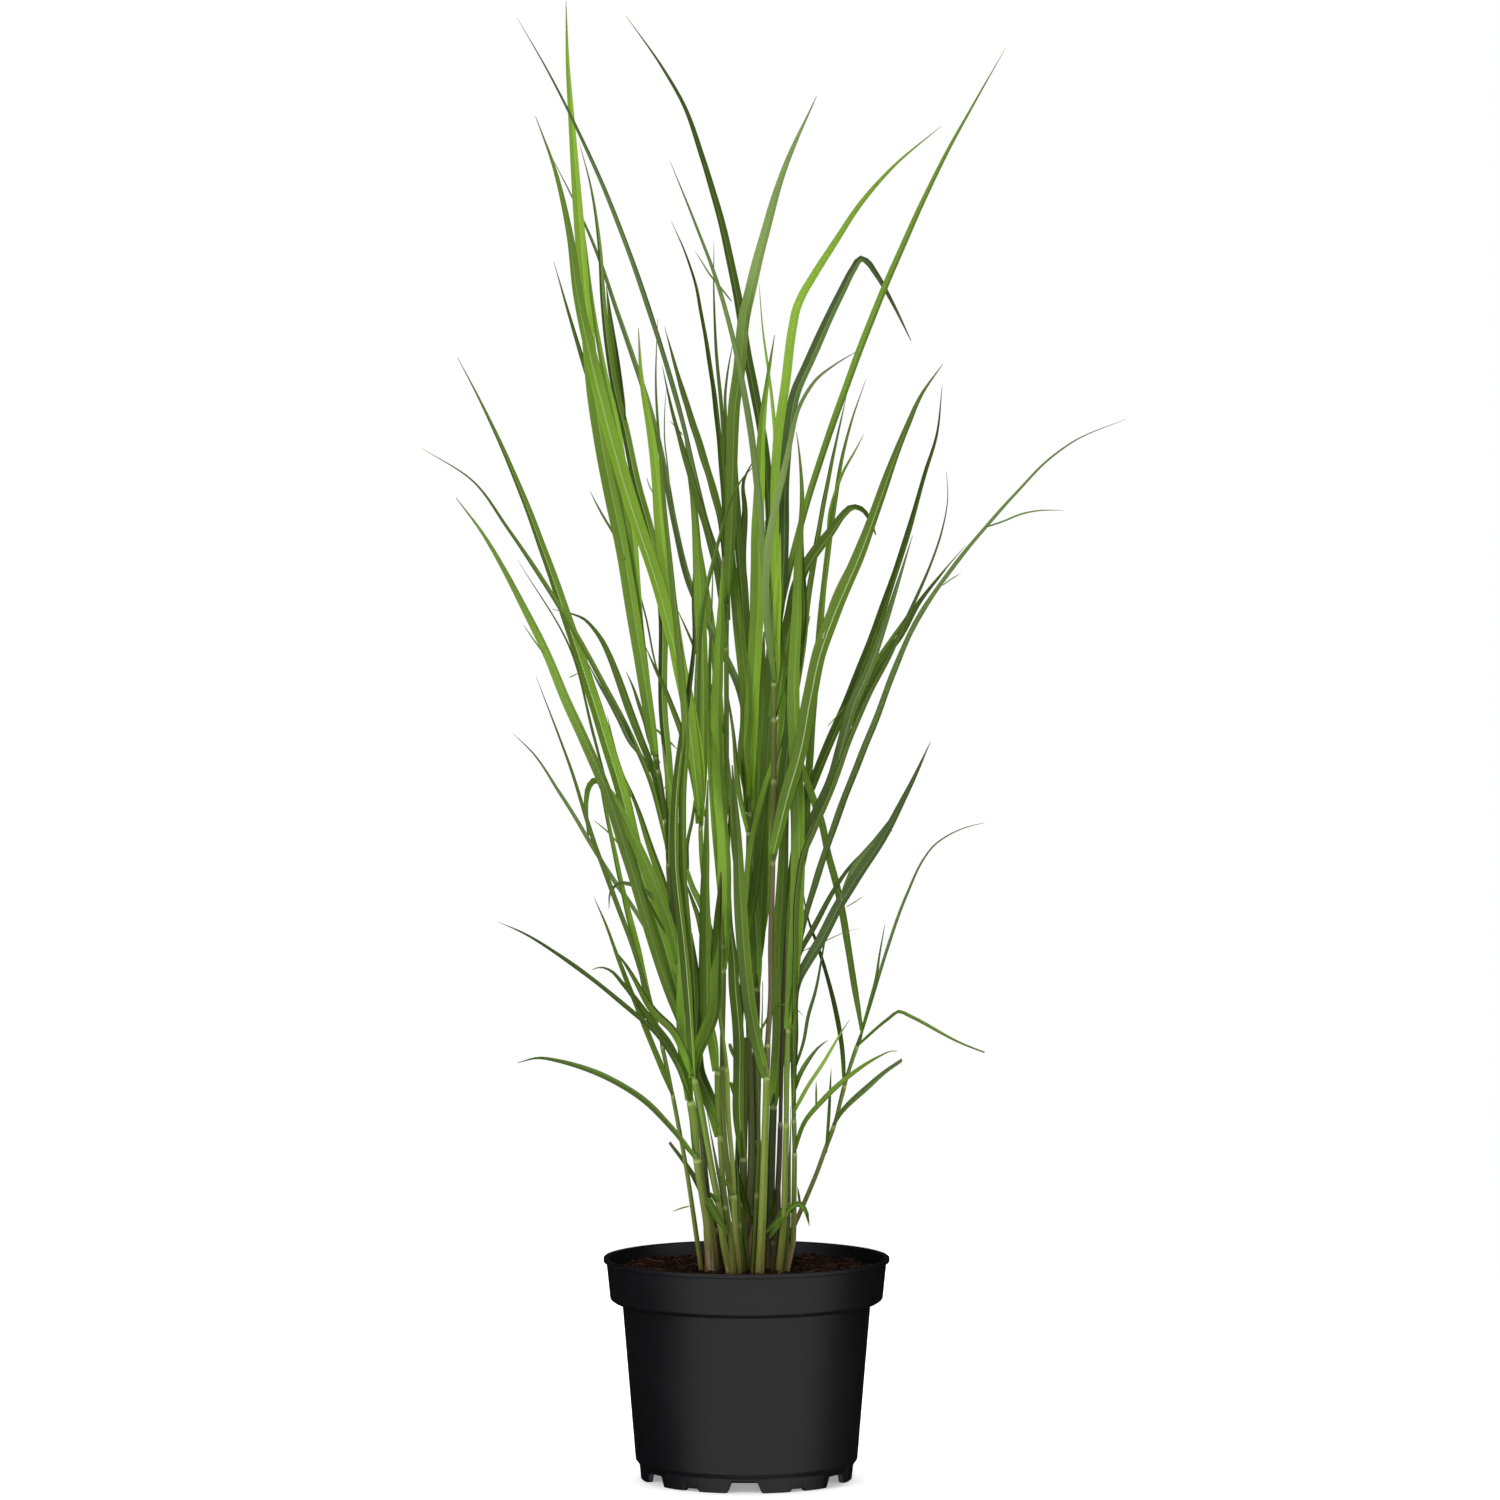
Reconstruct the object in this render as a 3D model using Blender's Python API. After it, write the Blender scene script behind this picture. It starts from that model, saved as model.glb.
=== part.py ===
"""Potted miscanthus clump: nursery container, soil, stems and leaves, at rest.

Built in millimetres about the container's axis, then scaled to metres, with +Z up and the feet on
the ground plane. The front faces -Y. Stem and leaf paths are given as seen from the front, on the
upright plane through the container's axis, and each leaf is then set forward or back from it.
"""

import math

import bmesh
import bpy
import numpy as np
from mathutils.bvhtree import BVHTree

MM = 0.001

# Container, radii and heights.
LIP_RADIUS = 115.0
LIP_TOP = 178.1
LIP_BEAD = 3.2
COLLAR_RADIUS_TOP = 112.6
COLLAR_RADIUS_LOW = 109.6
COLLAR_LOW = 143.5
NECK_RADIUS = 100.0
NECK_HEIGHT = 137.8
BODY_RADIUS_LOW = 89.3
BODY_LOW = 15.8
SKIRT_RADIUS_TOP = 86.2
SKIRT_TOP = 11.6
SKIRT_RADIUS_LOW = 85.0
WALL = 2.0
FLOOR_UNDER = 8.4
FLOOR_THICKNESS = 2.4
FEET = 6
FOOT_WIDTH_TOP = 47.0
FOOT_WIDTH_LOW = 42.0
FOOT_INNER = 79.5
FOOT_TURN = -1.0
POT_SIDES = 40

# Soil, filling the container to a little under the lip.
SOIL_LEVEL = 167.0
SOIL_MOUND = 2.0
GAP = 0.35

# The front viewpoint that the paths are given from.
VIEW_BACK = 5000.0
VIEW_X = 2.8
VIEW_Z = 785.0

# Leaf blades.
BLADE_THICKNESS = 1.1
BLADE_FOLD = 0.16
FOOT_WIDTH = 0.6
RISE_END = 0.16
FALL_START = 0.45
FALL_POWER = 1.7
DEPTH_POWER = 1.35
STEM_SIDES = 6
CLEAR = 0.45
DEPTH_STEP = 8.0
DEPTH_STEPS = 14
LAYER_STEP = 2.5
LAYERS = 7

# The container's axis lies this far left of the middle of the whole clump's width.
AXIS_X = -19.08
AXIS_Y = 0.0

GREEN = (0.15, 0.27, 0.06)
STEM_GREEN = (0.22, 0.32, 0.10)
BLACK = (0.025, 0.025, 0.028)
EARTH = (0.035, 0.018, 0.012)

# name: the stem that a side shoot grows on, base depth, top depth, base radius, top radius,
# then the path from the soil upwards.
STEMS = {
    "stem_far_left": (None, -18, -30, 2, 1.6, (-36, -41, -48.5, -54, -59.5, -64.5, -69),
        (165, 200, 250, 280, 309, 333, 354)),
    "stem_brown_base": (None, -32, -60, 6.3, 3.7, (-27.5, -31, -35, -38.5, -41, -42.5, -45.5),
        (165, 207, 228, 248, 270, 290, 307)),
    "shoot_grey": ("stem_brown_base", -26, -34, 3, 2.4, (-26, -29.5, -33.5, -37, -40),
        (165, 210, 248, 288, 318)),
    "stem_left_front": (None, -46, -95, 3, 2.4, (-13.5, -18.5, -22.5, -28, -32.5, -37, -42.5),
        (165, 190, 220, 250, 275, 300, 324)),
    "shoot_inner": ("stem_left_front", -49, -60, 2.6, 2.4, (-11, -13.5, -19, -21.5, -23, -23.5),
        (165, 197, 238, 278, 300, 331)),
    "stem_left_bright": (None, -40, -60, 2.6, 1.9, (-6, -9, -11, -14.5, -16, -21, -26.5, -31.5, -36, -37),
        (165, 200, 250, 290, 331, 370, 420, 460, 500, 532)),
    "stem_tall_left": (None, -8, 25, 3.3, 2.2,
        (-10, -21, -34.5, -46.5, -54, -59.5, -62.5, -63.5, -67.5, -73),
        (165, 215, 280, 350, 410, 455, 490, 520, 550, 582)),
    "stem_tall_middle": (None, -22, -22, 3.8, 2.3, (-4, -8, -14, -19, -19.5, -18.5, -18.5, -16, -16, -16),
        (165, 200, 240, 290, 340, 400, 480, 560, 640, 705)),
    "stem_middle": (None, -4, 10, 3.7, 1.9, (-1, 1, 3.5, 3.5, 2, 0, -0.5, 1.5, 2),
        (165, 210, 250, 300, 350, 400, 450, 500, 552)),
    "shoot_core": ("stem_middle", -3, 2, 3.2, 2.9, (-4, -4, -3, -2, -1.5, -1),
        (165, 198, 238, 278, 303, 355)),
    "stem_tall_right": (None, -47, -70, 3.5, 2.2, (10.5, 13, 14, 15.5, 17, 19.5, 19.5, 20.5, 21.5, 22, 22),
        (165, 220, 250, 300, 350, 390, 430, 470, 520, 600, 672)),
    "stem_dark": (None, 9, 60, 3, 2.3, (8, 7, 7.5, 4.5, 6, 8, 8.5, 8.5),
        (165, 200, 240, 290, 320, 365, 390, 420)),
    "stem_right_bright": (None, -36, -52, 3, 2.3, (25.5, 30, 31, 32, 32.5, 34.5),
        (165, 210, 250, 286, 330, 367)),
    "stem_right": (None, -22, -34, 2.4, 1.9, (32, 37, 38, 38.5, 38, 38.5), (165, 190, 220, 270, 300, 335)),
    "stem_right_brown": (None, -6, 18, 3, 1.9, (21, 24, 26.5, 28, 30, 33), (165, 210, 260, 320, 390, 450)),
    "shoot_shade": ("stem_right_brown", -4, 44, 3, 2.5, (17.5, 19, 20, 21.5, 23),
        (165, 210, 250, 300, 345)),
    "stem_leaning": (None, -8, 20, 2.1, 1.6, (28, 35, 44.5, 57, 64, 71.5, 76.5, 82, 93),
        (165, 195, 217.5, 247.5, 267, 287.5, 307.5, 327.5, 360)),
    "stem_back": (None, 10, 90, 2.5, 1.7, (-12, -8.5, -6, -4, -3), (165, 230, 300, 380, 450)),
}

# name: stem, own node, widest as seen, depth of the tip, turn about its length, end,
# then the path from the stem to the tip. The end is the share of the width left at the tip.
LEAVES = {
    "blade_a01": ("stem_tall_left", True, 9.5, -150, 29, 0.05,
        (-47, -61, -96, -115.5, -130.5, -143, -158.5, -175.5, -193.5, -212.5, -232.5),
        (352, 387.5, 500.5, 560.5, 595, 622, 660, 695, 729.5, 761.5, 788)),
    "blade_a02": ("stem_tall_left", True, 8, 150, -29, 0.05,
        (-47, -64, -84, -99.5, -114, -141, -158.5, -183.5, -214.5, -231),
        (355, 424.5, 487, 551, 599.5, 683.5, 734.5, 800.5, 868.5, 900)),
    "blade_a03": ("stem_tall_left", True, 4, 60, 45, 0.05, (-63, -75.5, -123, -191, -218, -259.5),
        (506, 556, 654.5, 763.5, 800.5, 827.5)),
    "blade_a04": ("stem_tall_left", True, 2.5, -190, -52, 0.05, (-56, -75.5, -93, -122.5, -140.5, -183),
        (425, 457.5, 494.5, 597.5, 665.5, 738)),
    "blade_a05": ("stem_far_left", True, 3.5, -110, 52, 0.05,
        (-69, -76.5, -93.5, -103, -121.5, -141.5, -168.5),
        (354, 380, 434.5, 460, 510, 573, 644.5)),
    "blade_a06": ("stem_tall_left", True, 4, 150, 52, 0.05, (-51, -67.5, -90, -106, -150, -172, -187.5),
        (387, 420.5, 458, 481, 552, 584.5, 599.5)),
    "blade_a07": ("stem_far_left", False, 4.5, -90, -45, 0.05, (-59.5, -81, -102, -114, -122.5),
        (309, 362.5, 415.5, 448.5, 468)),
    "blade_a08": ("stem_brown_base", True, 4, -100, 52, 0.05,
        (-45, -56, -71, -92, -120.5, -150, -180, -199.5),
        (304, 334, 357, 376, 399.5, 421, 439.5, 448)),
    "blade_a09": ("stem_brown_base", False, 5.5, -150, -52, 0.1,
        (-45, -49.5, -55.5, -62.5, -73, -100, -109.5, -117, -124),
        (304, 320.5, 335, 349.5, 363.5, 399, 409, 411.5, 409.5)),
    "blade_a10": ("stem_left_front", False, 6, -60, 52, 0.1, (-42.5, -59.5, -73, -98, -105.5),
        (324, 361, 374.5, 415, 425)),
    "blade_a11": ("stem_brown_base", True, 5, -150, 52, 0.08,
        (-39.5, -45.5, -52, -64.5, -78, -88, -100, -129.5, -150, -168, -184),
        (257.5, 264, 272.5, 287, 301, 309, 316.5, 330, 336, 338.5, 334.5)),
    "blade_a14": ("stem_tall_left", True, 8.5, -60, 35, 0.1,
        (-54.5, -62, -78.5, -95.5, -106.5, -113.5, -119, -123.5, -127, -128.5, -127.5, -126.5),
        (414, 445, 488, 524.5, 546.5, 556.5, 562, 561, 555.5, 546, 524, 511)),
    "blade_a15": ("stem_far_left", False, 5, 60, -52, 0.05, (-68, -80, -87, -95, -104, -122.5),
        (349, 390, 425, 455, 495, 585)),
    "blade_a17": ("stem_tall_left", True, 6.5, 200, 32, 0.05, (-51.5, -58, -75.5, -91, -103.5),
        (390, 448, 502.5, 548.5, 576)),
    "blade_b01": ("stem_tall_left", True, 11, -40, 20, 0.04,
        (-73, -85, -91.5, -98, -116, -122, -128.5, -140.5, -142.5, -144),
        (582, 660, 700, 739.5, 829.5, 870, 940.5, 1100, 1130, 1184)),
    "blade_b02": ("stem_left_bright", True, 11, -150, -35, 0.04,
        (-37, -44, -55.5, -65.5, -98, -125.5, -134.5, -141.5, -153, -168.5),
        (532, 600, 662.5, 701.5, 803, 907.5, 950, 1000, 1049.5, 1092.5)),
    "blade_b03": ("stem_tall_left", True, 6.5, 150, 45, 0.05, (-71, -77.5, -92, -101, -121.5, -133, -154),
        (570, 620, 725, 780.5, 868, 904.5, 976.5)),
    "blade_b04": ("stem_tall_middle", True, 4, -110, 45, 0.05,
        (-16, -21.5, -32, -39.5, -50, -80, -94, -110.5, -138, -159.5, -183),
        (703, 738, 769.5, 799.5, 844.5, 944.5, 984.5, 1027, 1088, 1130, 1170.5)),
    "blade_b05": ("stem_brown_base", False, 11.5, -95, 32, 0.08,
        (-45, -50.5, -49.5, -53, -57.5, -61.5, -67.5),
        (305, 360, 420, 480, 525, 550.5, 590.5)),
    "blade_b06": ("stem_tall_left", True, 7.5, 70, -20, 0.04,
        (-62.5, -62, -67, -67.5, -72.5, -90, -96.5, -105, -110, -114.5, -117, -125.5, -133.5),
        (495, 560, 620, 700, 740, 808.5, 840.5, 875, 905, 945, 985, 1041.5, 1071)),
    "blade_b07": ("stem_middle", True, 5.5, 130, 48, 0.05,
        (2, 0.5, -5, -27, -43.5, -57, -70, -80, -104.5, -116, -138.5, -155),
        (552, 600, 632, 680, 713.5, 765, 832, 868, 940, 974.5, 1026.5, 1059)),
    "blade_b08": ("stem_tall_right", True, 7, 110, -29, 0.04,
        (22, 20.5, 14, 6, 1, -5.5, -11, -21, -35.5, -49.5, -66.5, -96),
        (672, 720, 830, 875, 900, 940, 968, 1011.5, 1060, 1100, 1130, 1172)),
    "blade_b09": ("stem_tall_right", True, 5, -190, 48, 0.05,
        (22, 16.5, 8.5, 3.5, -9.5, -18, -27.5, -40.5, -61),
        (660, 710, 800, 840, 910, 943, 972, 1006, 1056.5)),
    "blade_b10": ("stem_tall_middle", True, 4.5, 190, 52, 0.05, (-16, -15.5, -18, -27, -37, -40, -49.5, -60),
        (704, 745, 790, 879.5, 940, 955.5, 985, 1008.5)),
    "blade_b11": ("stem_tall_middle", False, 3, -95, -52, 0.05, (-16, -17, -18.5, -24.5, -26, -26),
        (699, 800, 840, 910, 945, 993)),
    "blade_b12": ("stem_tall_middle", True, 9.5, -240, 32, 0.04,
        (-16, -12.5, -11.5, -9.5, -6.5, -2, 4.5, 13.5, 30, 56),
        (704, 770, 820, 865, 884.5, 930.5, 960, 995, 1050, 1108.5)),
    "blade_b13": ("stem_left_bright", False, 11, -100, 20, 0.04,
        (-37, -39, -46.5, -54, -64, -68.5, -71.5, -76.5, -83.5, -86.5),
        (527, 575, 620, 655, 725, 762, 800, 840, 880, 924)),
    "blade_b14": ("stem_left_front", False, 5.5, -200, 52, 0.05,
        (-42, -45.5, -51, -51.5, -49, -55.5, -64.5, -69.5, -72.5, -71),
        (322, 420, 490, 540, 600, 680, 770, 830, 880, 931)),
    "blade_b16": ("stem_tall_middle", True, 6.5, 240, -52, 0.05, (-16, -19.5, -27.5, -37.5, -54.5, -65.5),
        (690, 765, 797, 830, 885, 924.5)),
    "blade_b17": ("stem_tall_middle", True, 5.5, -175, 52, 0.05, (-16, -19.5, -27, -44.5, -60.5, -67.5),
        (668, 705, 745, 805, 862, 894)),
    "blade_b18": ("stem_left_bright", True, 9.5, 60, 35, 0.06, (-37, -35.5, -35.5, -37.5, -39.5, -42, -49.5),
        (528, 590, 650, 705, 745, 780, 838)),
    "blade_b19": ("stem_left_bright", False, 4.5, -140, -52, 0.1, (-37, -39, -36, -28, -20, -11, -3.5, 7),
        (525, 650, 695, 732, 762, 789.5, 803, 814.5)),
    "blade_b21": ("stem_left_front", False, 6.5, -150, 45, 0.06,
        (-42.5, -50, -58, -57, -52.5, -46, -42, -43, -42),
        (324, 420, 500, 550, 590, 634.5, 669.5, 710, 737)),
    "blade_b22": ("stem_tall_right", False, 10.5, -95, 20, 0.1, (16, 10, 0.5, -2, -6, -7.5, -11.5),
        (323, 344.5, 394.5, 420, 480, 520, 574)),
    "blade_b23": ("stem_middle", False, 8.5, 55, -45, 0.06, (2, -0.5, -9.5, -8.5), (546, 680, 815, 880)),
    "blade_b24": ("stem_middle", False, 11, -70, 26, 0.05, (2, 3.5, 8.5, 9, 10.5, 12.5, 16.5, 22.5),
        (548, 610, 710, 760, 800, 845, 880, 918)),
    "blade_b25": ("stem_tall_right", False, 3.5, -20, 52, 0.05, (22, 23.5, 23, 23, 16.5, 13.5, 10),
        (666, 730, 790, 835, 897, 918, 959)),
    "blade_c01": ("stem_tall_right", True, 7, -170, 26, 0.04,
        (22, 22.5, 25.5, 30.5, 37, 39.5, 44.5, 52.5, 70, 92.5, 117, 155.5),
        (672, 720, 840, 875, 925, 938, 950, 963.5, 991, 1024.5, 1052, 1084.5)),
    "blade_c02": ("stem_tall_right", True, 9, 60, 29, 0.08,
        (22, 28, 33, 39.5, 49, 76.5, 85.5, 91.5, 96.5, 102.5, 116, 131.5),
        (662, 720, 835, 873, 894.5, 954, 971, 979, 976.5, 968.5, 945, 913.5)),
    "blade_c03": ("stem_tall_right", True, 5.5, -224, -42, 0.05,
        (22, 15.5, 17, 24, 31, 36, 41, 48, 56, 70, 90),
        (640, 700, 745, 785, 815, 838, 858, 872, 883, 894, 906)),
    "blade_c04": ("stem_tall_right", True, 5.5, 20, 29, 0.04,
        (22, 40.5, 49, 76.5, 106, 124.5, 141, 161, 176.5, 207),
        (672, 755, 785.5, 868, 945.5, 988.5, 1025, 1065.5, 1093.5, 1147)),
    "blade_c05": ("stem_right_bright", False, 11, -120, 32, 0.05,
        (34, 40.5, 41, 39, 37.5, 40, 41.5, 44.5, 41.5, 40),
        (362, 470, 530, 590, 640, 690, 740, 780, 830, 840.5)),
    "blade_c06": ("stem_tall_right", True, 5.5, 170, -48, 0.05, (22, 37, 44.5, 49, 55, 66.5, 80),
        (562, 620.5, 665.5, 705, 745, 808, 870)),
    "blade_c07": ("stem_right_brown", True, 6, 180, 45, 0.05,
        (33, 45.5, 50, 58.5, 62.5, 71.5, 75.5, 83.5, 95.5),
        (448, 510, 570, 680, 722, 790, 815, 847.5, 882.5)),
    "blade_c09": ("stem_tall_right", True, 11, 120, 45, 0.1, (22, 34.5, 46, 68.5, 76.5, 85, 92, 98.5, 103.5),
        (612, 690, 730.5, 762.5, 773.5, 780.5, 779, 771, 758.5)),
    "blade_c10": ("stem_tall_right", True, 11, -130, 30, 0.04,
        (21, 31, 43, 50.5, 58, 68, 88.5, 128.5, 139.5, 157),
        (502, 545, 587.5, 628, 662.5, 691, 738.5, 845, 869.5, 895)),
    "blade_c11": ("stem_right_brown", True, 7, 60, 45, 0.04,
        (33, 40.5, 47.5, 54.5, 89, 113.5, 127.5, 143.5, 152, 156.5),
        (450, 515, 545.5, 563.5, 645, 711.5, 754, 809.5, 837.5, 877.5)),
    "blade_c12": ("stem_right", True, 9.5, -80, 35, 0.04,
        (38.5, 36, 38.5, 42, 45, 60.5, 68.5, 75, 85.5, 97.5, 108.5, 133),
        (335, 390, 470, 497, 509.5, 543.5, 562, 585.5, 623, 650, 680.5, 758)),
    "blade_c13": ("stem_right", True, 4.5, -210, -52, 0.05,
        (38, 39, 41.5, 44.5, 54, 65.5, 83, 96, 114, 130.5, 147.5, 156.5, 161, 160),
        (290, 420, 480, 498, 522, 548, 595.5, 626, 660.5, 696.5, 735, 762, 787, 809)),
    "blade_c14": ("stem_right_bright", True, 5.5, 130, 52, 0.05,
        (34.5, 40, 47.5, 60, 80, 95.5, 103.5, 118.5, 139, 159.5, 175.5),
        (364, 470, 508, 544.5, 599.5, 640, 655.5, 678, 706.5, 731.5, 750)),
    "blade_c15": ("stem_right", True, 4, -60, 52, 0.04,
        (38.5, 39, 43, 54, 79.5, 99.5, 141, 165, 190.5, 215.5, 240.5, 261.5, 302.5),
        (333, 380, 435, 475, 550, 600, 697.5, 732, 763.5, 791.5, 817.5, 833, 850.5)),
    "blade_c16": ("stem_right", True, 4.5, -150, 48, 0.04,
        (38, 38.5, 41.5, 51.5, 59.5, 76, 85.5, 106.5, 126.5, 147.5),
        (300, 350, 402, 420.5, 433.5, 465, 480, 511, 547.5, 592.5)),
    "blade_c17": ("stem_right_bright", False, 4, -40, -52, 0.1,
        (34, 37.5, 43.5, 52, 70.5, 80.5, 90, 99.5, 117),
        (362, 395, 425, 440, 474, 489, 500, 509.5, 521.5)),
    "blade_c18": ("stem_leaning", True, 4, -70, 48, 0.05, (93, 86, 77, 70.5, 65, 60.5, 54.5, 42.5, 37, 24),
        (360, 400, 455, 485, 505, 527, 544.5, 579.5, 610, 709)),
    "blade_c19": ("stem_leaning", False, 2.4, -20, 52, 0.1, (91.5, 99.5, 104, 106.5, 111),
        (355, 384.5, 402, 420, 446)),
    "blade_c20": ("stem_leaning", True, 2.4, 110, -52, 0.08,
        (91.5, 98, 112.5, 128.5, 143, 149.5, 160, 178, 191),
        (356, 377.5, 425, 470, 500, 508.5, 516.5, 524.5, 527.5)),
    "blade_c21": ("stem_leaning", True, 2.5, -30, 52, 0.45, (89, 114.5, 122.5, 130.5, 175.5, 191),
        (348, 370.5, 376, 372.5, 349, 343)),
    "blade_c22": ("stem_leaning", False, 3.5, 60, 52, 0.08, (79, 77, 72, 61.5, 56, 51, 47.5, 45),
        (317, 345, 375, 415, 432, 445.5, 458.5, 478.5)),
    "blade_c23": ("stem_right", False, 4, -70, 52, 0.1, (38.5, 47.5, 60, 72.5, 82.5, 108, 116, 121),
        (262, 288, 303, 315.5, 324, 340.5, 344, 344)),
    "blade_c24": ("stem_leaning", False, 4, -40, 50, 0.8, (70, 75, 99.5, 111, 124.5),
        (284, 292.5, 317, 327, 336.5)),
    "blade_c25": ("stem_right", False, 3, -50, -52, 0.08, (38, 49, 60, 76, 82.5),
        (296, 315.5, 332, 359, 369)),
    "blade_c26": ("stem_right", False, 3.5, -75, 52, 0.1, (38, 43.5, 52, 60, 65),
        (310, 326, 340, 349, 352.5)),
    "blade_c27": ("stem_right", False, 2.4, -20, 52, 0.08, (38.5, 46, 49.5, 55.5, 58, 60.5, 64, 71),
        (328, 352, 372, 393, 405, 420, 437, 453)),
    "blade_d01": ("stem_tall_middle", False, 4.5, -70, 52, 0.6, (-7, -19, -32.5, -45, -62),
        (190, 204.5, 225, 247.5, 270.5)),
    "blade_d02": ("stem_right_brown", False, 4, -60, 52, 0.1, (22.5, 29.5, 35, 42, 47.5, 49.5, 50.5),
        (190, 207.5, 216, 220.5, 216.5, 209, 203)),
    "blade_d03": ("stem_back", True, 4, 230, 38, 0.05, (-3.5, 0, 15.5, 20.5, 22),
        (400, 480, 640, 720, 800)),
    "blade_d04": ("stem_back", True, 7.5, 200, -35, 0.05, (-3, -10, -20, -27.5, -40, -48.5),
        (450, 520, 600, 680.5, 760.5, 818.5)),
    "blade_d05": ("stem_dark", True, 13, 240, 42, 0.05, (8.5, 13.5, 19, 38, 51),
        (420, 480, 540, 650.5, 693.5)),
    "blade_a18": ("stem_tall_left", True, 6, 110, 48, 0.05,
        (-65, -71.5, -87, -91.5, -103.5, -109.5, -116.5, -122.5, -130, -141, -156),
        (530, 559.5, 600, 612, 645, 660.5, 675, 683.5, 691, 695.5, 699)),
    "blade_f08": ("stem_middle", False, 9, -20, 32, 0.08, (2, -2.5, -0.5, -2.5, -7, -12, -17),
        (545, 580, 610, 650, 690, 740, 813)),
    "blade_f01": ("stem_middle", False, 5, -40, 48, 0.1, (-0.5, 1.5, 8.5, 15, 21, 25, 28),
        (452, 490, 532, 557, 575, 600, 640)),
    "blade_f02": ("stem_dark", False, 11, 70, 32, 0.1, (8.5, 10, 12, 12, 14), (410, 440, 500, 600, 681)),
    "blade_f03": ("stem_tall_middle", False, 11, -70, 45, 0.1, (-18.5, -18.5, -21.5, -24, -22.5, -18.5),
        (410, 510, 548.5, 600, 660, 741)),
    "blade_f06": ("stem_left_front", False, 10, -50, 52, 0.1, (-42, -39, -33, -27, -25, -23.5, -20.5),
        (322, 345, 357.5, 374.5, 405, 440, 488)),
    "blade_f09": ("shoot_inner", False, 11, 0, 29, 0.1, (-21.5, -26.5, -32.5, -39, -41, -40, -44),
        (275, 296.5, 310.5, 326.5, 345, 395, 439)),
    "blade_f10": ("stem_dark", False, 10, 40, 32, 0.1, (8.5, 7, 4.5, 4.5, 7.5), (395, 440, 480, 520, 600)),
    "blade_f11": ("shoot_shade", False, 11, 30, 22, 0.1, (21.5, 26, 26, 25.5, 28.5, 30.5, 34),
        (300, 355, 390, 418, 472, 522, 590)),
    "blade_f12": ("shoot_core", False, 8.5, -20, 38, 0.1, (-2.5, -6, -6.5, -10, -11, -14, -15, -13.5),
        (258, 285, 355, 397, 418, 445, 490, 542)),
    "blade_f13": ("shoot_inner", False, 8.5, -75, 52, 0.1, (-23.5, -28, -32, -33, -33.5, -32.5, -31),
        (328, 356, 369.5, 395, 450, 500, 562)),
    "blade_g03": ("stem_tall_left", False, 7.5, -100, 30, 0.06,
        (-73, -86.5, -92.5, -98, -102.5, -116, -122.5, -128.5),
        (582, 689.5, 765, 800, 835.5, 900, 940, 994)),
    "blade_g05": ("stem_tall_right", False, 9, -90, 20, 0.06, (21, 27, 33, 38, 42, 42, 43),
        (497, 540, 590, 640, 690, 720, 770)),
    "blade_g06": ("stem_middle", False, 8, -60, 32, 0.06, (-0.5, 8, 16, 20, 15), (430, 480, 580, 680, 770)),
    "blade_g07": ("stem_tall_middle", False, 4, 60, -45, 0.06, (-18.5, -30, -26.5), (430, 600, 744)),
    "blade_g13": ("stem_middle", False, 11, 110, -35, 0.06, (1.5, 1, -4, -1.5, -2.5, 5.5),
        (536, 620, 740, 780, 800.5, 818)),
    "blade_g18": ("stem_middle", False, 4, -50, 45, 0.06, (1.5, -5.5, -10.5, -16), (520, 550, 600, 636.5)),
}


def seen(x, z, y):
    """The point at depth y that covers (x, z) of the upright plane, from the front viewpoint."""
    share = (VIEW_BACK + y) / VIEW_BACK
    return np.stack([VIEW_X + (x - VIEW_X) * share, y + 0 * x, VIEW_Z + (z - VIEW_Z) * share], -1)


def unit(v):
    return v / np.linalg.norm(v, axis=-1, keepdims=True)


def lengths_along(points):
    """Distance along a path at each point, from 0 to 1."""
    steps = np.linalg.norm(np.diff(points, axis=0), axis=1)
    run = np.concatenate([[0.0], np.cumsum(steps)])
    return run / run[-1]


def tangents(points):
    ahead = np.vstack([points[1:], points[-1:]])
    behind = np.vstack([points[:1], points[:-1]])
    return unit(ahead - behind)


def loft(rings):
    """Vertices and faces of a closed solid through rings of equal size, with flat ends."""
    count, sides = rings.shape[:2]
    a = np.arange(count - 1)[:, None] * sides + np.arange(sides)[None, :]
    b = np.arange(count - 1)[:, None] * sides + np.roll(np.arange(sides), -1)[None, :]
    quads = np.stack([a, b, b + sides, a + sides], -1).reshape(-1, 4)
    faces = [tuple(int(i) for i in quad) for quad in quads]
    faces.append(tuple(range(sides - 1, -1, -1)))
    faces.append(tuple((count - 1) * sides + i for i in range(sides)))
    return rings.reshape(-1, 3), faces


def stem_path(name):
    _, low, high, base_radius, top_radius, x, z = STEMS[name]
    x, z = np.array(x, float), np.array(z, float)
    share = (z - z[0]) / (z[-1] - z[0])
    centre = seen(x, z, low + (high - low) * share)
    radius = base_radius + (top_radius - base_radius) * np.minimum(1, share * 2.2)
    return centre, radius


def stem_shape(name):
    centre, radius = stem_path(name)
    centre[0, 2] = SOIL_LEVEL + SOIL_MOUND + GAP
    forward = tangents(centre)
    forward[0] = (0, 0, 1)
    side = unit(np.cross(forward, np.array([0.0, 1.0, 0.0])))
    front = np.cross(side, forward)
    angle = 2 * math.pi * np.arange(STEM_SIDES) / STEM_SIDES
    rings = (centre[:, None] + radius[:, None, None]
             * (side[:, None] * np.cos(angle)[None, :, None]
                + front[:, None] * np.sin(angle)[None, :, None]))
    return loft(rings)


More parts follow.
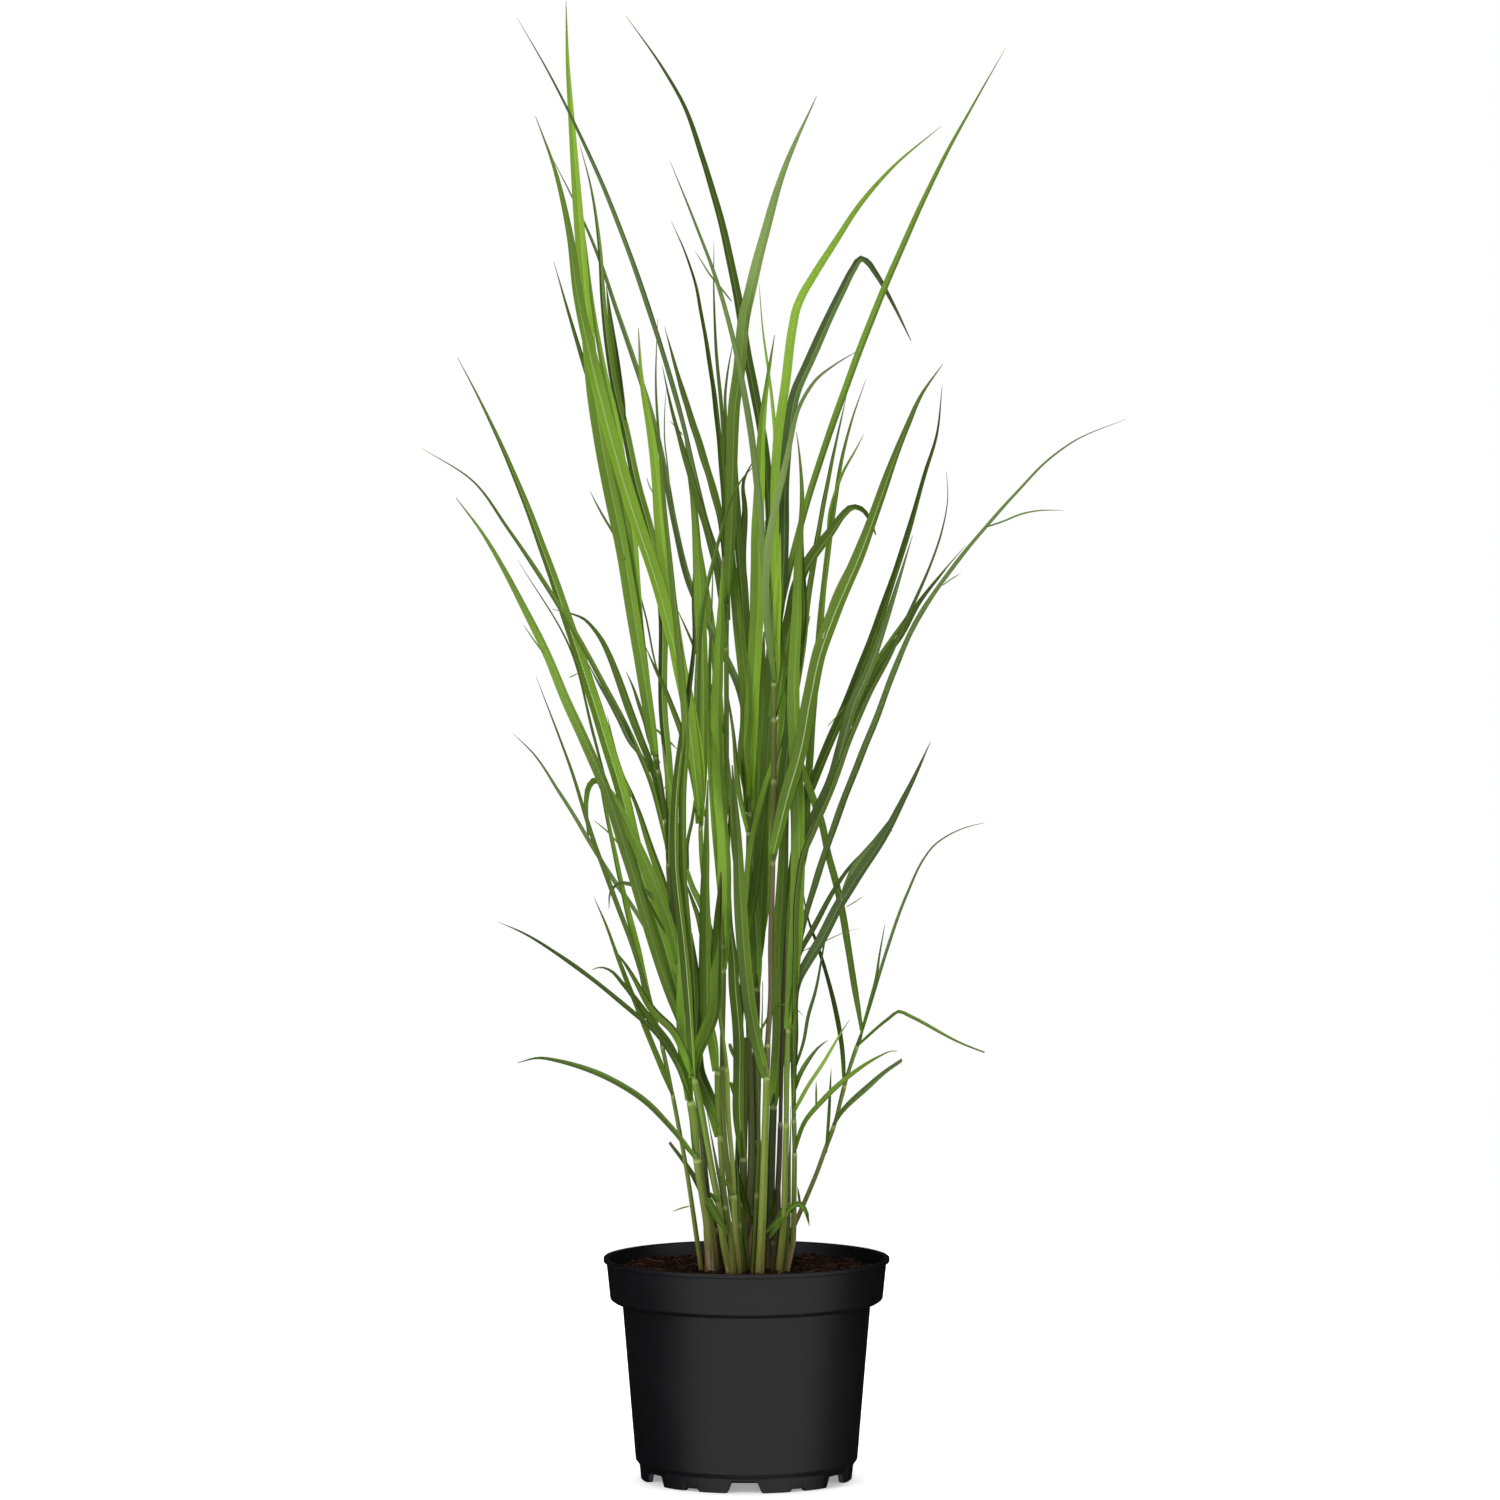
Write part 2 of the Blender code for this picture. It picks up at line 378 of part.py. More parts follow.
def blade_shape(name, depth, layer, swell=0.0):
    """A folded blade: a keel on its back, two thin edges, and a shallow groove in front."""
    stem, own, width, _, turn, end, x, z = LEAVES[name]
    x, z = np.array(x, float), np.array(z, float)
    centre, radius = stem_path(stem)
    start_y = np.interp(z[0], centre[:, 2], centre[:, 1])
    start_radius = np.interp(z[0], centre[:, 2], radius)
    away = 1.0 if depth > start_y else -1.0
    if own:
        start_y += away * (start_radius + 0.6 * BLADE_THICKNESS + BLADE_FOLD * width + CLEAR)
        start_y += away * layer * LAYER_STEP
    flat = np.stack([x, 0 * x, z], -1)
    share = lengths_along(flat)
    line = seen(x, z, start_y + (depth - start_y) * share ** DEPTH_POWER)
    forward = tangents(line)
    toward = unit(np.array([VIEW_X, -VIEW_BACK, VIEW_Z]) - line)
    sideways = unit(np.cross(forward, toward))
    facing = np.cross(sideways, forward)
    angle = math.radians(turn)
    across, facing = (sideways * math.cos(angle) + facing * math.sin(angle),
                      facing * math.cos(angle) - sideways * math.sin(angle))
    rise = FOOT_WIDTH + (1 - FOOT_WIDTH) * np.sin(0.5 * math.pi * np.minimum(1, share / RISE_END))
    fall = 1 - (1 - end) * np.maximum(0, (share - FALL_START) / (1 - FALL_START)) ** FALL_POWER
    half = 0.5 * width / math.cos(angle) * rise * fall + swell
    thick = BLADE_THICKNESS * (0.35 + 0.65 * np.sqrt(fall)) + swell
    fold = 2 * BLADE_FOLD * half
    line = line + sideways * (fold * math.sin(angle))[:, None]
    rings = np.stack([
        line - across * half[:, None] + facing * fold[:, None],
        line - facing * (thick * 0.5)[:, None],
        line + across * half[:, None] + facing * fold[:, None],
        line + facing * (thick * 0.5 + 0.2 * fold)[:, None],
    ], 1)
    return loft(rings)


def material(name, colour, roughness):
    made = bpy.data.materials.new(name)
    made.use_nodes = True
    shader = made.node_tree.nodes["Principled BSDF"]
    shader.inputs["Base Color"].default_value = (*colour, 1.0)
    shader.inputs["Roughness"].default_value = roughness
    return made


def solid(name, points, faces, smooth=False):
    """A mesh object, from millimetres about the container's axis."""
    mesh = bpy.data.meshes.new(name)
    moved = (np.asarray(points, float) + np.array([AXIS_X, AXIS_Y, 0.0])) * MM
    mesh.from_pydata([tuple(p) for p in moved], [], faces)
    shape = bmesh.new()
    shape.from_mesh(mesh)
    bmesh.ops.recalc_face_normals(shape, faces=shape.faces)
    shape.to_mesh(mesh)
    shape.free()
    made = bpy.data.objects.new(name, mesh)
    bpy.context.scene.collection.objects.link(made)
    for polygon in mesh.polygons:
        polygon.use_smooth = smooth
    return made


def combine(target, others, operation):
    """Joins or cuts with the exact solver and keeps only the result."""
    for other in others:
        change = target.modifiers.new("change", "BOOLEAN")
        change.operation = operation
        change.solver = "EXACT"
        change.object = other
    bpy.context.view_layer.update()
    graph = bpy.context.evaluated_depsgraph_get()
    result = bpy.data.meshes.new_from_object(target.evaluated_get(graph))
    target.modifiers.clear()
    target.data = result
    for other in others:
        bpy.data.objects.remove(other, do_unlink=True)


def turned(name, profile, sides, smooth=True):
    """A closed profile of (radius, height) turned about the container's axis."""
    angle = 2 * math.pi * np.arange(sides) / sides
    profile = np.array(profile, float)
    rings = np.stack([profile[None, :, 0] * np.cos(angle)[:, None],
                      profile[None, :, 0] * np.sin(angle)[:, None],
                      np.repeat(profile[None, :, 1], sides, 0)], -1)
    count = len(profile)
    faces = []
    for i in range(sides):
        for j in range(count):
            a, b = i * count + j, i * count + (j + 1) % count
            c, d = ((i + 1) % sides) * count + (j + 1) % count, ((i + 1) % sides) * count + j
            faces.append((a, b, c, d))
    return solid(name, rings.reshape(-1, 3), faces, smooth)


def wedge(name, inner, outer, low, high, centre, width_low, width_high):
    """A block between two radii, as wide as the angles in degrees at its two heights."""
    rings = []
    for height, width in ((low, width_low), (high, width_high)):
        angle = np.radians(centre + np.linspace(-0.5, 0.5, 3) * width - 90.0)
        inside = np.stack([inner * np.cos(angle), inner * np.sin(angle)], -1)
        outside = np.stack([outer * np.cos(angle), outer * np.sin(angle)], -1)[::-1]
        ring = np.vstack([inside, outside])
        rings.append(np.column_stack([ring, np.full(len(ring), height)]))
    return solid(name, *loft(np.stack(rings)))


def build_pot(plastic):
    floor_top = FLOOR_UNDER + FLOOR_THICKNESS
    bead_low = LIP_TOP - LIP_BEAD
    profile = [
        (0.001, FLOOR_UNDER), (FOOT_INNER, FLOOR_UNDER), (FOOT_INNER + 0.3, 0.0),
        (SKIRT_RADIUS_LOW - 1.0, 0.0), (SKIRT_RADIUS_LOW, 1.2),
        (SKIRT_RADIUS_TOP, SKIRT_TOP), (BODY_RADIUS_LOW, BODY_LOW),
        (NECK_RADIUS, NECK_HEIGHT), (NECK_RADIUS + 4.5, NECK_HEIGHT + 2.8),
        (COLLAR_RADIUS_LOW, COLLAR_LOW), (COLLAR_RADIUS_TOP, bead_low - 1.2),
        (LIP_RADIUS - 0.4, bead_low), (LIP_RADIUS, LIP_TOP - 1.6), (LIP_RADIUS - 0.9, LIP_TOP - 0.2),
        (LIP_RADIUS - 2.2, LIP_TOP), (COLLAR_RADIUS_TOP - WALL, LIP_TOP - 1.0),
        (COLLAR_RADIUS_LOW - WALL, COLLAR_LOW + 1.5), (NECK_RADIUS + 2.0, NECK_HEIGHT + 4.5),
        (NECK_RADIUS - WALL, NECK_HEIGHT + 3.0), (BODY_RADIUS_LOW - WALL, BODY_LOW),
        (SKIRT_RADIUS_TOP - WALL - 1.0, floor_top), (0.001, floor_top),
    ]
    pot = turned("pot", profile, POT_SIDES)
    shape = bmesh.new()
    shape.from_mesh(pot.data)
    bmesh.ops.remove_doubles(shape, verts=shape.verts, dist=0.00001)
    bmesh.ops.recalc_face_normals(shape, faces=shape.faces)
    shape.to_mesh(pot.data)
    shape.free()
    pitch = 360.0 / FEET
    notches = [wedge(f"notch_{i}", FOOT_INNER - 4.0, SKIRT_RADIUS_TOP + 4.0, -2.0, FLOOR_UNDER,
                     FOOT_TURN + i * pitch, pitch - FOOT_WIDTH_LOW, pitch - FOOT_WIDTH_TOP)
               for i in range(FEET)]
    combine(pot, notches, "DIFFERENCE")
    pot.data.materials.clear()
    pot.data.materials.append(plastic)
    return pot


def build_soil(earth):
    inside_low = BODY_RADIUS_LOW - WALL - GAP
    inside_neck = NECK_RADIUS - WALL - GAP
    at_level = (COLLAR_RADIUS_LOW + (COLLAR_RADIUS_TOP - COLLAR_RADIUS_LOW)
                * (SOIL_LEVEL - COLLAR_LOW) / (LIP_TOP - COLLAR_LOW) - WALL - 1.2)
    profile = [
        (0.001, FLOOR_UNDER + FLOOR_THICKNESS + GAP),
        (SKIRT_RADIUS_TOP - WALL - 1.0 - 2 * GAP, FLOOR_UNDER + FLOOR_THICKNESS + GAP),
        (inside_low - 0.2, BODY_LOW + GAP), (inside_neck - 0.2, NECK_HEIGHT + 3.0 + 2 * GAP),
        (NECK_RADIUS + 1.0, NECK_HEIGHT + 5.0 + GAP),
        (COLLAR_RADIUS_LOW - WALL - 1.0, COLLAR_LOW + 2.5), (at_level, SOIL_LEVEL - 2.0),
        (at_level - 5.0, SOIL_LEVEL), (70.0, SOIL_LEVEL + SOIL_MOUND),
        (0.001, SOIL_LEVEL + SOIL_MOUND),
    ]
    soil = turned("soil", profile, 20)
    shape = bmesh.new()
    shape.from_mesh(soil.data)
    bmesh.ops.remove_doubles(shape, verts=shape.verts, dist=0.00001)
    bmesh.ops.recalc_face_normals(shape, faces=shape.faces)
    shape.to_mesh(soil.data)
    shape.free()
    soil.data.materials.append(earth)
    return soil


def tree(points, faces):
    return BVHTree.FromPolygons([tuple(p) for p in points], faces)


def clear_place(name, placed):
    """The tip depth and the layer at its foot, nearest to the stated ones, that touch nothing."""
    stem, own = LEAVES[name][:2]
    wanted = LEAVES[name][3]
    node = STEMS[stem][0] or stem
    others = [other for owner, other in placed if own or owner != node]
    tries = [(abs(step) + 2.5 * layer, layer, step, sign)
             for step in range(DEPTH_STEPS) for sign in (1, -1)
             for layer in range(LAYERS if own else 1)]
    for _, layer, step, sign in sorted(tries):
        depth = wanted + sign * step * DEPTH_STEP
        swollen = tree(*blade_shape(name, depth, layer, CLEAR))
        if not any(swollen.overlap(other) for other in others):
            return depth, layer
    print("no clear place for", name)
    return wanted, 0


def main():
    for old in list(bpy.data.objects):
        bpy.data.objects.remove(old, do_unlink=True)
    leaf_green = material("leaf", GREEN, 0.5)
    stem_green = material("stem", STEM_GREEN, 0.45)
    build_pot(material("pot_plastic", BLACK, 0.42))
    build_soil(material("potting_mix", EARTH, 0.95))

    placed = []
    joined = {}
    for name in STEMS:
        node = STEMS[name][0] or name
        points, faces = stem_shape(name)
        placed.append((node, tree(points, faces)))
        joined.setdefault(node, []).append(solid(name, points, faces, True))
    moved = []
    for name in LEAVES:
        stem, own = LEAVES[name][:2]
        depth, layer = clear_place(name, placed)
        moved.append(f"{name} {depth - LEAVES[name][3]:+.0f}/{layer}")
        points, faces = blade_shape(name, depth, layer)
        node = name if own else STEMS[stem][0] or stem
        placed.append((node, tree(points, faces)))
        blade = solid(name, points, faces)
        if own:
            blade.data.materials.append(leaf_green)
        else:
            joined[node].append(blade)
    for name, parts in joined.items():
        combine(parts[0], parts[1:], "UNION")
        parts[0].data.materials.clear()
        parts[0].data.materials.append(stem_green)
    print("depth moved by:", ", ".join(moved))


main()
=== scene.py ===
import math

import bpy
import numpy as np
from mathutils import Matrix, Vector
from mathutils.bvhtree import BVHTree


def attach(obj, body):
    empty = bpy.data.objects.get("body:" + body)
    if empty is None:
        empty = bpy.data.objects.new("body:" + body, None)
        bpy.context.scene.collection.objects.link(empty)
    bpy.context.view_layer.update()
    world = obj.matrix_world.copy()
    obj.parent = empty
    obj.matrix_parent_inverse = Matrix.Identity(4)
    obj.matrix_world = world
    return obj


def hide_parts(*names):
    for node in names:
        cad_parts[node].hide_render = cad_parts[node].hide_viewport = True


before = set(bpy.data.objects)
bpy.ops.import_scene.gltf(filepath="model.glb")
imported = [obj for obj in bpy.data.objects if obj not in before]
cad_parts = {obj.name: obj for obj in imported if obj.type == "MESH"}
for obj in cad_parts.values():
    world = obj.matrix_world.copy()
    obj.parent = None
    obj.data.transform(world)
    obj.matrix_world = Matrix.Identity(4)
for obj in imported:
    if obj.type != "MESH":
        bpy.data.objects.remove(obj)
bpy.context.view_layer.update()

mm = 0.001

# Where the photograph was taken from, in millimetres about the container's axis
view = {"back": 5000.0, "side": 2.8, "height": 785.0, "aimHeight": 586.0, "lens": 149.83, "sensor": 36.0}
axisShift = -19.08  # the container's axis, left of the middle of the clump's width


def srgb(red, green, blue):
    # A screen colour of 0 to 255 as linear light: ((c + 0.055) / 1.055) to the power 2.4
    c = np.array([red, green, blue], float) / 255
    return np.where(c <= 0.04045, c / 12.92, ((c + 0.055) / 1.055) ** 2.4)


def unit(v):
    # Each vector over its own length
    return v / np.linalg.norm(v, axis=-1, keepdims=True)


def smoothstep(low, high, x):
    # 3t^2 - 2t^3 of t, the share of the way from low to high, held between 0 and 1
    t = np.clip((x - low) / (high - low), 0, 1)
    return t * t * (3 - 2 * t)


def seen(x, z, y):
    # The point at depth y that covers (x, z) of the upright plane through the axis
    share = (view["back"] + y) / view["back"]
    return np.stack([view["side"] + (x - view["side"]) * share, y + 0 * x,
                     view["height"] + (z - view["height"]) * share], -1)


def runOf(points):
    # Distance along the path at each of its points
    return np.concatenate([[0], np.cumsum(np.linalg.norm(np.diff(points, axis=0), axis=1))])


def smoothPath(points, step):
    # A cubic through every point, its slope there weighing the stretches on both sides by
    # length. Gives the points about one step apart and each one's share of the whole path
    points = np.asarray(points, float)
    run = runOf(points)
    gaps = np.diff(run)
    slopes = np.gradient(points, run, axis=0)
    at = np.linspace(0, run[-1], max(6, int(run[-1] / step)))
    i = np.clip(np.searchsorted(run, at, side="right") - 1, 0, len(gaps) - 1)
    t = ((at - run[i]) / gaps[i])[:, None]
    h = gaps[i][:, None]
    path = (points[i] * (1 + 2 * t) * (1 - t) ** 2 + slopes[i] * h * t * (1 - t) ** 2
            + points[i + 1] * t * t * (3 - 2 * t) + slopes[i + 1] * h * t * t * (t - 1))
    return path, at / run[-1]


def tangents(points):
    # The way from the point before each point to the point after it
    return unit(np.vstack([points[1:], points[-1:]]) - np.vstack([points[:1], points[:-1]]))


# Meshes

def loftFaces(count, sides, capRows=None):
    # Four-sided faces between rings that follow each other, and at both ends either one
    # many-sided face or, for a flat blade, a row of faces between its front and its back
    a = np.arange(count - 1)[:, None] * sides + np.arange(sides)
    b = np.arange(count - 1)[:, None] * sides + np.roll(np.arange(sides), -1)
    faces = np.stack([a, b, b + sides, a + sides], -1).reshape(-1, 4).tolist()
    last = (count - 1) * sides
    if capRows is None:
        return faces + [list(range(sides - 1, -1, -1)), list(range(last, last + sides))]
    front = np.arange(capRows)
    rear = (2 * capRows - 2 - front) % sides
    for i in range(capRows - 1):
        ring = list(dict.fromkeys([front[i], front[i + 1], rear[i + 1], rear[i]]))
        faces.append([int(k) for k in ring[::-1]])
        faces.append([int(k) + last for k in ring])
    return faces


def facingOut(points, faces):
    # Six times the volume is the sum of a . (b x c) over the triangles; below 0 the faces turn
    corners = np.array([(f[0], f[i], f[i + 1]) for f in faces for i in range(1, len(f) - 1)])
    a, b, c = (points[corners[:, k]] for k in range(3))
    return faces if np.sum(a * np.cross(b, c)) > 0 else [f[::-1] for f in faces]


def toned(colours):
    # Colours with the full opacity that a colour attribute also needs
    colours = np.asarray(colours, float)
    return np.concatenate([colours, np.ones(colours.shape[:-1] + (1,))], -1).reshape(-1, 4)


def makePiece(name, parts, finish, stands, smooth=True):
    # One mesh object from parts, each a closed form with points in millimetres about the
    # axis, faces, and per point its colour, its midrib's colour and its place in the pattern
    points, faces, start = [], [], 0
    for part in parts:
        points.append(part["points"])
        faces += [[i + start for i in face] for face in facingOut(part["points"], part["faces"])]
        start += len(part["points"])
    placed = (np.vstack(points) + np.array([axisShift, 0, 0])) * mm
    mesh = bpy.data.meshes.new(name)
    mesh.from_pydata(placed.tolist(), [], faces)
    for key in ("tone", "ribTone"):
        if key in parts[0]:
            layer = mesh.color_attributes.new(key, "FLOAT_COLOR", "POINT")
            layer.data.foreach_set("color", np.vstack([part[key] for part in parts]).ravel())
    if "uv" in parts[0]:
        corner = np.zeros(len(mesh.loops), int)
        mesh.loops.foreach_get("vertex_index", corner)
        layer = mesh.uv_layers.new(name="grain")
        layer.data.foreach_set("uv", np.vstack([part["uv"] for part in parts])[corner].ravel())
    mesh.polygons.foreach_set("use_smooth", [smooth] * len(mesh.polygons))
    mesh.materials.append(finish)
    mesh.update()
    piece = bpy.data.objects.new(name, mesh)
    bpy.context.scene.collection.objects.link(piece)
    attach(piece, "root")
    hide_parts(*stands)
    return piece


# Finishes. A noise in metres is given as scale, detail, stretch along the axes and roughness. One
# on a piece's own map, longGrain or shortGrain, is given as scale across, scale along and detail

noiseBand = (0.3, 0.7)  # nearly all of a noise lies between these


def newFinish(name):
    # A material, its node tree and its shader
    made = bpy.data.materials.new(name)
    made.use_nodes = True
    return made, made.node_tree, made.node_tree.nodes["Principled BSDF"]


def node(tree, kind, *inputs, **settings):
    # Adds a node, sets its named properties, and feeds its inputs in order: a socket is
    # linked, a number or tuple is set, None is left as it is
    made = tree.nodes.new("ShaderNode" + kind)
    for key, value in settings.items():
        setattr(made, key, value)
    for socket, value in zip(made.inputs, inputs):
        if isinstance(value, bpy.types.NodeSocket):
            tree.links.new(value, socket)
        elif value is not None:
            socket.default_value = value
    return made


def maths(tree, operation, *inputs):
    # One sum of the shader's inputs, named as Blender names it
    return node(tree, "Math", *inputs, operation=operation).outputs[0]


def ramp(tree, value, low, high, toLow, toHigh):
    # value between low and high, eased, as a number between toLow and toHigh
    return node(tree, "MapRange", value, low, high, toLow, toHigh,
                interpolation_type="SMOOTHSTEP").outputs[0]


def noise(tree, scale, detail, stretch=(1, 1, 1), roughness=0.5):
    # Noise in the object's own metres, its lumps stretched along the axes
    place = node(tree, "TexCoord").outputs["Object"]
    place = node(tree, "Mapping", place, None, None, tuple(1 / s for s in stretch)).outputs[0]
    made = node(tree, "TexNoise", place)
    made.inputs["Scale"].default_value = scale
    made.inputs["Detail"].default_value = detail
    made.inputs["Roughness"].default_value = roughness
    return made.outputs["Fac"]


def grainNoise(tree, across, along, detail):
    # Noise on the piece's own map: v runs along it in metres, u across it from 0 to 1
    place = node(tree, "UVMap", uv_map="grain").outputs[0]
    place = node(tree, "Mapping", place, None, None, (across, along, 1)).outputs[0]
    made = node(tree, "TexNoise", place)
    made.inputs["Scale"].default_value = 1
    made.inputs["Detail"].default_value = detail
    return made.outputs["Fac"]


def scaled(tree, colour, factor):
    # The colour times the factor
    made = node(tree, "VectorMath", colour, operation="SCALE")
    tree.links.new(factor, made.inputs["Scale"])
    return made.outputs[0]


def mixed(tree, factor, first, second):
    # First where the factor is 0 and second where it is 1, by the Mix node's colour sockets
    made = node(tree, "Mix", data_type="RGBA")
    for place, value in ((0, factor), (6, first), (7, second)):
        if isinstance(value, bpy.types.NodeSocket):
            tree.links.new(value, made.inputs[place])
        else:
            made.inputs[place].default_value = value
    return made.outputs[2]


def bump(tree, shader, height, strength, distance):
    # Tilts the shaded surface as the height rises and falls over the distance in metres
    made = node(tree, "Bump", strength, distance)
    tree.links.new(height, made.inputs["Height"])
    tree.links.new(made.outputs[0], shader.inputs["Normal"])


def shine(tree, shader, look, cloud):
    # Roughness follows the noise between the look's two values
    tree.links.new(ramp(tree, cloud, *noiseBand, *look["roughness"]), shader.inputs["Roughness"])
    shader.inputs["Specular IOR Level"].default_value = look["specular"]


def veined(tree, look):
    # How light the tone is: 1, plus veins as a sine across the piece, plus a long and a short
    # noise, each about its own middle. Also gives the place across, the veins and the long noise
    across = node(tree, "SeparateXYZ", node(tree, "UVMap", uv_map="grain").outputs[0]).outputs[0]
    veins = maths(tree, "SINE", maths(tree, "MULTIPLY", across, 2 * math.pi * look["veins"]))
    long, short = grainNoise(tree, *look["longGrain"]), grainNoise(tree, *look["shortGrain"])
    light = maths(tree, "MULTIPLY_ADD", veins, look["veinDepth"],
                  maths(tree, "MULTIPLY_ADD", long, 2 * look["longDepth"], 1 - look["longDepth"]))
    light = maths(tree, "MULTIPLY_ADD", short, 2 * look["shortDepth"],
                  maths(tree, "SUBTRACT", light, look["shortDepth"]))
    return across, veins, long, light


leafLook = {"veins": 8, "veinDepth": 0.045, "longGrain": (3, 9, 3), "longDepth": 0.13,
            "shortGrain": (16, 110, 2), "shortDepth": 0.04, "ribBand": (0.032, 0.12), "ribRelief": -3,
            "roughness": (0.42, 0.52), "specular": 0.24, "bump": (0.2, 0.0002)}


def leafFinish():
    # Colour from the mesh, darkened along veins that run the blade's length and by long soft
    # mottles, with the midrib's own colour on a narrow stripe down the middle
    look = leafLook
    made, tree, shader = newFinish("leafBlade")
    across, veins, mottle, light = veined(tree, look)
    off = maths(tree, "MULTIPLY", maths(tree, "ABSOLUTE", maths(tree, "SUBTRACT", across, 0.5)), 2)
    tone = node(tree, "Attribute", attribute_name="tone").outputs["Color"]
    rib = node(tree, "Attribute", attribute_name="ribTone").outputs
    stripe = maths(tree, "MULTIPLY", ramp(tree, off, *look["ribBand"], 1, 0), rib["Alpha"])
    tree.links.new(mixed(tree, stripe, scaled(tree, tone, light), rib["Color"]), shader.inputs["Base Color"])
    shine(tree, shader, look, mottle)
    bump(tree, shader, maths(tree, "MULTIPLY_ADD", stripe, look["ribRelief"], veins), *look["bump"])
    return made


culmLook = {"veins": 11, "veinDepth": 0.05, "longGrain": (8, 20, 3), "longDepth": 0.28,
            "shortGrain": (2.5, 45, 3), "shortDepth": 0.2, "streakRelief": 2,
            "roughness": (0.38, 0.54), "specular": 0.35, "bump": (0.3, 0.0002)}


def culmFinish():
    # Colour from the mesh, with close parallel veins round the stem and long streaks
    look = culmLook
    made, tree, shader = newFinish("culmSheath")
    _, veins, streak, light = veined(tree, look)
    tone = node(tree, "Attribute", attribute_name="tone").outputs["Color"]
    tree.links.new(scaled(tree, tone, light), shader.inputs["Base Color"])
    shine(tree, shader, look, streak)
    bump(tree, shader, maths(tree, "MULTIPLY_ADD", streak, look["streakRelief"], veins), *look["bump"])
    return made


potLook = {"dark": (0.0034, 0.0034, 0.0041, 1), "light": (0.0048, 0.0048, 0.0057, 1),
           "grain": (2600, 2), "cloud": (14, 4, (1, 1, 1.6), 0.6), "cloudRelief": 0.6,
           "scuffs": (320, 4, (6, 6, 1), 0.7), "scuffBand": (0.66, 0.74), "scuffTone": (0.06, 0.06, 0.064, 1),
           "scuffShown": 0.2, "scuffDull": 0.12, "roughness": (0.37, 0.44), "specular": 0.45,
           "bump": (0.1, 0.0002)}


def potFinish():
    # Black plastic with a fine moulded grain, faint cloudy dulling and a few pale scuffs
    look = potLook
    made, tree, shader = newFinish("potPlastic")
    grain, cloud = noise(tree, *look["grain"]), noise(tree, *look["cloud"])
    scuff = ramp(tree, noise(tree, *look["scuffs"]), *look["scuffBand"], 0, 1)
    base = mixed(tree, ramp(tree, cloud, *noiseBand, 0, 1), look["dark"], look["light"])
    base = mixed(tree, maths(tree, "MULTIPLY", scuff, look["scuffShown"]), base, look["scuffTone"])
    tree.links.new(base, shader.inputs["Base Color"])
    rough = ramp(tree, cloud, *noiseBand, *look["roughness"])
    tree.links.new(maths(tree, "MULTIPLY_ADD", scuff, look["scuffDull"], rough), shader.inputs["Roughness"])
    shader.inputs["Specular IOR Level"].default_value = look["specular"]
    bump(tree, shader, maths(tree, "MULTIPLY_ADD", cloud, look["cloudRelief"], grain), *look["bump"])
    return made


compostLook = {"lumps": (230, 5, (1, 1, 1), 0.65), "lumpDepth": 1.5, "grains": (1100, 3, (1, 1, 1), 0.6),
               "grainDepth": 0.6, "roughness": 0.92, "specular": 0.2, "bump": (0.7, 0.0012)}


def compostFinish():
    # Peaty brown from the mesh, broken up by grains of two sizes, and everywhere dull
    look = compostLook
    made, tree, shader = newFinish("compost")
    lumps, grains = noise(tree, *look["lumps"]), noise(tree, *look["grains"])
    tone = node(tree, "Attribute", attribute_name="tone").outputs["Color"]
    light = maths(tree, "MULTIPLY", lumps, look["lumpDepth"])
    light = maths(tree, "MULTIPLY_ADD", grains, look["grainDepth"], light)
    tree.links.new(scaled(tree, tone, light), shader.inputs["Base Color"])
    shader.inputs["Roughness"].default_value = look["roughness"]
    shader.inputs["Specular IOR Level"].default_value = look["specular"]
    bump(tree, shader, maths(tree, "ADD", lumps, grains), *look["bump"])
    return made


